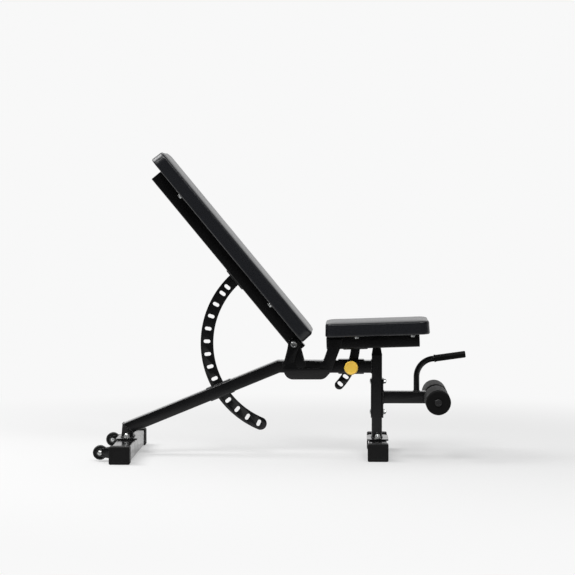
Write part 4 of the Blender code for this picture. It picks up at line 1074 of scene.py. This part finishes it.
def inflated(mesh, heldBelow):
    # the cover as cloth under the foam's pressure, held where it is stapled; returns how each point moves
    scene = bpy.context.scene
    holder = bpy.data.objects.new("cover", mesh)
    scene.collection.objects.link(holder)
    group = holder.vertex_groups.new(name="stapled")
    start = [vertex.co.copy() for vertex in mesh.vertices]
    group.add([i for i, point in enumerate(start) if point.z < heldBelow], 1.0, "REPLACE")
    cover = holder.modifiers.new("cover", "CLOTH")
    cloth = cover.settings
    cloth.quality = 5
    cloth.mass = 0.35
    cloth.tension_stiffness = 12
    cloth.compression_stiffness = 12
    cloth.shear_stiffness = 6
    cloth.bending_stiffness = 1.5
    cloth.use_pressure = True
    cloth.uniform_pressure_force = pads["pressure"]
    cloth.vertex_group_mass = "stapled"
    cloth.effector_weights.gravity = 0
    for number in range(1, pads["frames"] + 1):
        scene.frame_set(number)
    swollen = holder.evaluated_get(bpy.context.evaluated_depsgraph_get()).to_mesh()
    tree = KDTree(len(start))
    steps = []
    for i, (old, vertex) in enumerate(zip(start, swollen.vertices)):
        step = vertex.co - old
        if step.length > pads["cap"]:
            step *= pads["cap"] / step.length
        steps.append(step)
        tree.insert(old, i)
    tree.balance()
    scene.frame_set(1)
    bpy.data.objects.remove(holder)
    return tree, steps


def evened(mesh, moves, rounds):
    # spreads each move over the neighbouring points, so that foam and not a grid shapes the cover
    ends = numpy.array([edge.vertices[:] for edge in mesh.edges])
    flow = numpy.array([tuple(move) for move in moves])
    count = numpy.bincount(ends.ravel(), minlength=len(flow))[:, None] + 1.0
    for _ in range(rounds):
        spread = flow.copy()
        numpy.add.at(spread, ends[:, 0], flow[ends[:, 1]])
        numpy.add.at(spread, ends[:, 1], flow[ends[:, 0]])
        flow = spread / count
    return [Vector(step) for step in flow]


def dressed(mesh, length, width, thickness, seed):
    # moves the fine cover as the simulated one moved, then gathers its slack at the ends of its sides
    normals = [vertex.normal.copy() for vertex in mesh.vertices]
    tree, steps = inflated(remeshed(mesh, pads["voxel"]), pads["stapledBelow"])
    moves = []
    for vertex in mesh.vertices:
        near = tree.find_n(vertex.co, pads["near"])
        weights = [1 / (distance + 0.004) for _, _, distance in near]
        total = sum(weights)
        moves.append(sum((steps[i] * (w / total) for (_, i, _), w in zip(near, weights)), Vector()))
    moves = evened(mesh, moves, pads["evening"])
    for vertex, normal, move in zip(mesh.vertices, normals, moves):
        point = vertex.co
        nearEnd = math.exp(-((length / 2 - abs(point.x)) / pads["foldReach"]) ** 2)
        onSide = min(1.0, max(0.0, (abs(point.y) - width / 2 + pads["foldBand"]) / 0.025))
        above = min(1.0, max(0.0, point.z / thickness))
        fold = noise.noise(Vector((point.x * 16 + seed, point.y * 8, point.z * 70)))
        ripple = noise.noise(Vector((point.x * 26, point.y * 26, point.z * 40 + seed)))
        vertex.co = point + move + normal * above * (pads["foldDepth"] * nearEnd * onSide * fold
                                                     + pads["rippleDepth"] * ripple)
    return mesh


def stitchRow(points, outward):
    # thread showing as short rods along a closed run of points
    pitch, parts, carried = pads["stitch"], [], 0.0
    profile = [(0.0, -0.0018), (0.00026, -0.0017), (0.00034, 0.0), (0.00026, 0.0017), (0.0, 0.0018)]
    rod = lathe(profile, 0.0, 8)
    for start, end in zip(points, points[1:] + points[:1]):
        run = end - start
        out = Vector((run.y, -run.x, 0)).normalized() * outward
        turn = run.to_track_quat("Z", "Y").to_matrix().to_4x4()
        while carried < run.length:
            parts.append((rod, Matrix.Translation(start + run.normalized() * carried + out) @ turn))
            carried += pitch
        carried -= run.length
    return merged(*parts)


def alongLoop(mesh, loop, pitch):
    # copies of a mesh along a loop, each turned along it
    parts, carried = [], pitch / 2
    for start, end in zip(loop, loop[1:] + loop[:1]):
        run = Vector((end[0] - start[0], end[1] - start[1]))
        while carried < run.length:
            spot = Vector(start) + run.normalized() * carried
            parts.append((mesh, at(spot.x, spot.y, 0, Matrix.Rotation(math.atan2(run.y, run.x), 4, "Z"))))
            carried += pitch
        carried -= run.length
    return merged(*parts)


def makePad(kind, start, end, underside, thickness, matrix, seed):
    length, middle = end - start, (start + end) / 2
    width, cut, shrink = pads["width"], pads["clothThickness"], pads["shrink"]
    tall = thickness - cut - shrink
    cover, count = coverShape(length - 2 * shrink, width - 2 * shrink, tall, pads["corner"] - shrink)
    cover = dressed(cover, length, width, tall, seed)
    where = matrix @ at(middle, 0, underside + cut)
    pad = addPiece(f"{kind}PadCover", cover, "vinyl", kind, where, stands=(f"{kind}_pad",), sharp=85)

    # the topstitch runs along the row of the cover that lies nearest to its height
    heights = [z for _, z in coverRows(width - 2 * shrink, tall)]
    row = min(range(len(heights)), key=lambda k: abs(heights[k] - (tall - pads["stitchDrop"])))
    line = [cover.vertices[row * count + i].co.copy() for i in range(count)]
    addPiece(f"{kind}PadStitching", stitchRow(line, 0.0001), "thread", kind, where)

    # backing cloth over the hem, and the staples that hold it
    inset = pads["hem"]
    backing = plateMesh(roundedRect(length - 2 * inset, width - 2 * inset, 0.016), cut, edge=0.0002)
    addPiece(f"{kind}PadBacking", backing, "cloth", kind, matrix @ at(middle, 0, underside + cut / 2),
             stands=(f"{kind}_pad_board",))
    staple = plateMesh(roundedRect(0.0105, 0.0009, 0.00042, 1), 0.0005, edge=0.00012)
    loop = roundedRect(length - 2 * inset - 0.012, width - 2 * inset - 0.012, 0.010)
    addPiece(f"{kind}PadStaples", alongLoop(staple, loop, 0.030), "zinc", kind,
             matrix @ at(middle, 0, underside - 0.0002))


back = {
    "tubeStart": -0.028, "tubeEnd": 0.715, "axis": 0.0035, "padStart": -0.013, "padEnd": 0.760,
    "padThickness": 0.0478, "brackets": (0.1485, 0.610), "sleeve": 0.014,
}


def makeBack():
    height, width, axis = bench["tubeHeight"], bench["backTubeWidth"], back["axis"]
    makeTube("back", back, width, ("Upper", "Lower"), backFrame)
    half = pivot["cheekInner"] - 0.0022
    sleeve = lathe([(0.0113, -half), (back["sleeve"], -half), (back["sleeve"], half), (0.0113, half)],
                   closed=True)
    addPiece("backPivotSleeve", sleeve, "coat", "back", backFrame @ toLeft, stands=("back_pivot_sleeve",))
    bush = lathe([(0.0083, 0.010), (0.0110, 0.010), (0.0110, half + 0.0003), (0.0135, half + 0.0003),
                  (0.0135, pivot["cheekInner"] - 0.0003), (0.0083, pivot["cheekInner"] - 0.0003)],
                  closed=True)
    # the back's own frame faces the other way, so its right-hand turn points to the left
    for side, name, turn in (("left", "Left", toRight), ("right", "Right", toLeft)):
        addPiece(f"backPivotBush{name}", bush.copy(), "nylon", "back", backFrame @ turn,
                 stands=(f"back_pivot_bush_{side}",))
        ring = [backFrame @ turn @ Vector((x, y, width / 2)) for x, y in circle(back["sleeve"], 40)]
        welds["back"].append(weldBead(ring, 0.0016))
    tubeTop = axis + height / 2
    makeBrackets("back", ("lower", "upper"), back["brackets"], tubeTop, width, backFrame)
    makeLadder("back", axis - height / 2, backLockAngle, backFrame)
    makePad("back", back["padStart"], back["padEnd"], tubeTop + brackets["thickness"] + bench["gap"],
            back["padThickness"], backFrame, 3.0)
    print("back made")


seat = {
    "tubeStart": 0.1065, "tubeEnd": 0.412, "axis": -0.0018, "padStart": 0.1025, "padEnd": 0.4460,
    "padThickness": 0.0482, "brackets": (0.2065, 0.3898),
}


def makeSeat():
    height, width, axis = bench["tubeHeight"], bench["seatTubeWidth"], seat["axis"]
    makeTube("seat", seat, width, ("Front", "Rear"), seatFrame)

    # the dropped side plates: from the eye down, level under the spine and up to the tube
    corners = [(-0.0430, -0.0780, 0.020), (-0.0250, -0.1160, 0.030), (0.0950, -0.1195, 0.030),
               (0.1195, -0.0940, 0.030), (0.1530, -0.0145, 0.0), (0.1590, 0.0120, 0.004),
               (0.1120, 0.0120, 0.004), (0.1095, -0.0210, 0.0), (0.0960, -0.0560, 0.010),
               (0.0840, -0.0680, 0.006), (0.0800, -0.0820, 0.010), (0.0040, -0.0790, 0.010),
               (-0.0015, -0.0600, 0.010), (0.0060, -0.0345, 0.0)]
    outline = arc(0.020, -42, 182, 48) + eased(corners, 0, 12, closed=True)
    for side, name, sign, _ in sides:
        plate = plateMesh(outline, pivot["plateThickness"], [circle(0.0083, 48)])
        y = sign * (pivot["plateInner"] + pivot["plateThickness"] / 2)
        addPiece(f"seatSidePlate{name}", plate, "coat", "seat", seatFrame @ at(0, y, 0, upright),
                 stands=(f"seat_side_plate_{side}",))
        run = [seatFrame @ Vector((x, sign * pivot["plateInner"], z)) for x, z in
               ((0.1095, -0.0205), (0.1120, 0.0120), (0.1590, 0.0120), (0.1520, -0.0205))]
        welds["seat"].append(weldBead(run, 0.0017, closed=False))
    tubeTop = axis + height / 2
    makeBrackets("seat", ("rear", "front"), seat["brackets"], tubeTop, width, seatFrame)
    makeLadder("seat", axis - height / 2, seatLockAngle + bench["seatAngle"], seatFrame)
    makePad("seat", seat["padStart"], seat["padEnd"], tubeTop + brackets["thickness"] + bench["gap"],
            seat["padThickness"], seatFrame, 11.0)
    print("seat made")


makeBack()
makeSeat()
for group, runs in welds.items():
    addPiece(f"{group}Welds", merged(*[(run, atRest) for run in runs]), "coat", group, sharp=80)
print("welds made:", sum(len(runs) for runs in welds.values()))


studio = {
    "ground": linear("#f8f8f8"),
    "front": 0.03,           # light from the camera's side, as a share of the white ground
    "overhead": 0.35,
    "floorSize": 30.0, "floorDim": 0.12, "fade": (0.9, 2.4),
    "floorShade": 0.56,      # how much of the floor's look is real shading
    "paper": 0.59,
    "eye": (0.2267, -7.417, 0.8593), "aim": (0.0172, 0.0, 0.5523), "lens": 141.2,
}


def addSoftbox(name, size, power, place, aim=(0, 0, 0.45)):
    lamp = bpy.data.lights.new(name, "AREA")
    lamp.shape = "RECTANGLE"
    lamp.size, lamp.size_y = size
    lamp.energy = power
    light = bpy.data.objects.new(name, lamp)
    light.location = place
    light.rotation_euler = (Vector(aim) - Vector(place)).to_track_quat("-Z", "Y").to_euler()
    bpy.context.scene.collection.objects.link(light)


def makeStudio():
    scene = bpy.context.scene
    scene.view_settings.view_transform = "Standard"
    scene.view_settings.look = "None"
    world = bpy.data.worlds.new("studio")
    world.use_nodes = True
    scene.world = world
    tree = world.node_tree
    tree.nodes.clear()
    white = studio["ground"][0]
    ways = addNode(tree, "ShaderNodeSeparateXYZ", None,
                   {0: addNode(tree, "ShaderNodeTexCoord").outputs["Generated"]})
    behind = addNode(tree, "ShaderNodeMapRange",
                     {"interpolation_type": "SMOOTHSTEP", "From Min": 0.05, "From Max": 0.75,
                      "To Min": studio["front"] * white, "To Max": white}, {"Value": ways.outputs["Y"]})
    above = addNode(tree, "ShaderNodeMapRange",
                    {"interpolation_type": "SMOOTHSTEP", "From Min": 0.35, "From Max": 0.95,
                     "To Min": 0.0, "To Max": studio["overhead"]}, {"Value": ways.outputs["Z"]})
    both = addNode(tree, "ShaderNodeMath", {"operation": "ADD"},
                   {0: behind.outputs["Result"], 1: above.outputs["Result"]})
    lit = addNode(tree, "ShaderNodeBackground", {"Color": (1, 1, 1, 1)}, {"Strength": both.outputs[0]})
    seen = addNode(tree, "ShaderNodeBackground", {"Color": studio["ground"], "Strength": 1.0})
    direct = addNode(tree, "ShaderNodeLightPath").outputs["Is Camera Ray"]
    mixed = addNode(tree, "ShaderNodeMixShader", None, {0: direct, 1: lit.outputs[0], 2: seen.outputs[0]})
    addNode(tree, "ShaderNodeOutputWorld", None, {"Surface": mixed.outputs[0]})

    # the floor glows like the ground behind it and takes part of the bench's shadow; what the bench
    # mirrors of it is bright behind the bench and dim on the camera's side
    floorLook = bpy.data.materials.new("studio floor")
    floorLook.use_nodes = True
    tree = floorLook.node_tree
    tree.nodes.clear()
    place = addNode(tree, "ShaderNodeTexCoord").outputs["Object"]
    reach = addNode(tree, "ShaderNodeVectorMath", {"operation": "LENGTH"}, {0: place})
    fade = addNode(tree, "ShaderNodeMapRange",
                   {"interpolation_type": "SMOOTHSTEP", "From Min": studio["fade"][0],
                    "From Max": studio["fade"][1], "To Min": studio["floorShade"], "To Max": 0.0},
                    {"Value": reach.outputs["Value"]})
    depth = addNode(tree, "ShaderNodeSeparateXYZ", None, {0: place}).outputs["Y"]
    dim = addNode(tree, "ShaderNodeMapRange",
                  {"interpolation_type": "SMOOTHSTEP", "From Min": -0.9, "From Max": 0.0,
                   "To Min": studio["floorDim"], "To Max": 1.0}, {"Value": depth})
    direct = addNode(tree, "ShaderNodeLightPath").outputs["Is Camera Ray"]
    strength = addNode(tree, "ShaderNodeMath", {"operation": "MAXIMUM"},
                       {0: dim.outputs["Result"], 1: direct})
    glow = addNode(tree, "ShaderNodeEmission", {"Color": studio["ground"]},
                   {"Strength": strength.outputs[0]})
    shade = studio["paper"]
    paper = addNode(tree, "ShaderNodeBsdfDiffuse", {"Color": (shade, shade, shade, 1.0)})
    blend = addNode(tree, "ShaderNodeMixShader", None,
                    {0: fade.outputs["Result"], 1: glow.outputs[0], 2: paper.outputs[0]})
    addNode(tree, "ShaderNodeOutputMaterial", None, {"Surface": blend.outputs[0]})
    half = studio["floorSize"] / 2
    sheet = bpy.data.meshes.new("floor")
    sheet.from_pydata([(-half, -half, 0), (half, -half, 0), (half, half, 0), (-half, half, 0)], [],
                      [(0, 1, 2, 3)])
    sheet.materials.append(floorLook)
    floor = bpy.data.objects.new("floor", sheet)
    scene.collection.objects.link(floor)
    floor.location.z = -0.0002

    addSoftbox("softboxUpperLeft", (2.0, 2.0), 125, (-2.7, 0.3, 3.1))
    addSoftbox("softboxHighLeft", (2.0, 1.4), 85, (-0.9, -2.6, 3.6))
    addSoftbox("softboxHighRight", (1.6, 1.4), 62, (1.7, -2.6, 3.6))

    lens = bpy.data.cameras.new("camera")
    lens.lens = studio["lens"]
    lens.sensor_width = 36
    camera = bpy.data.objects.new("camera", lens)
    camera.location = studio["eye"]
    look = Vector(studio["aim"]) - Vector(studio["eye"])
    camera.rotation_euler = look.to_track_quat("-Z", "Y").to_euler()
    scene.collection.objects.link(camera)
    scene.camera = camera
    print("studio made")


makeStudio()
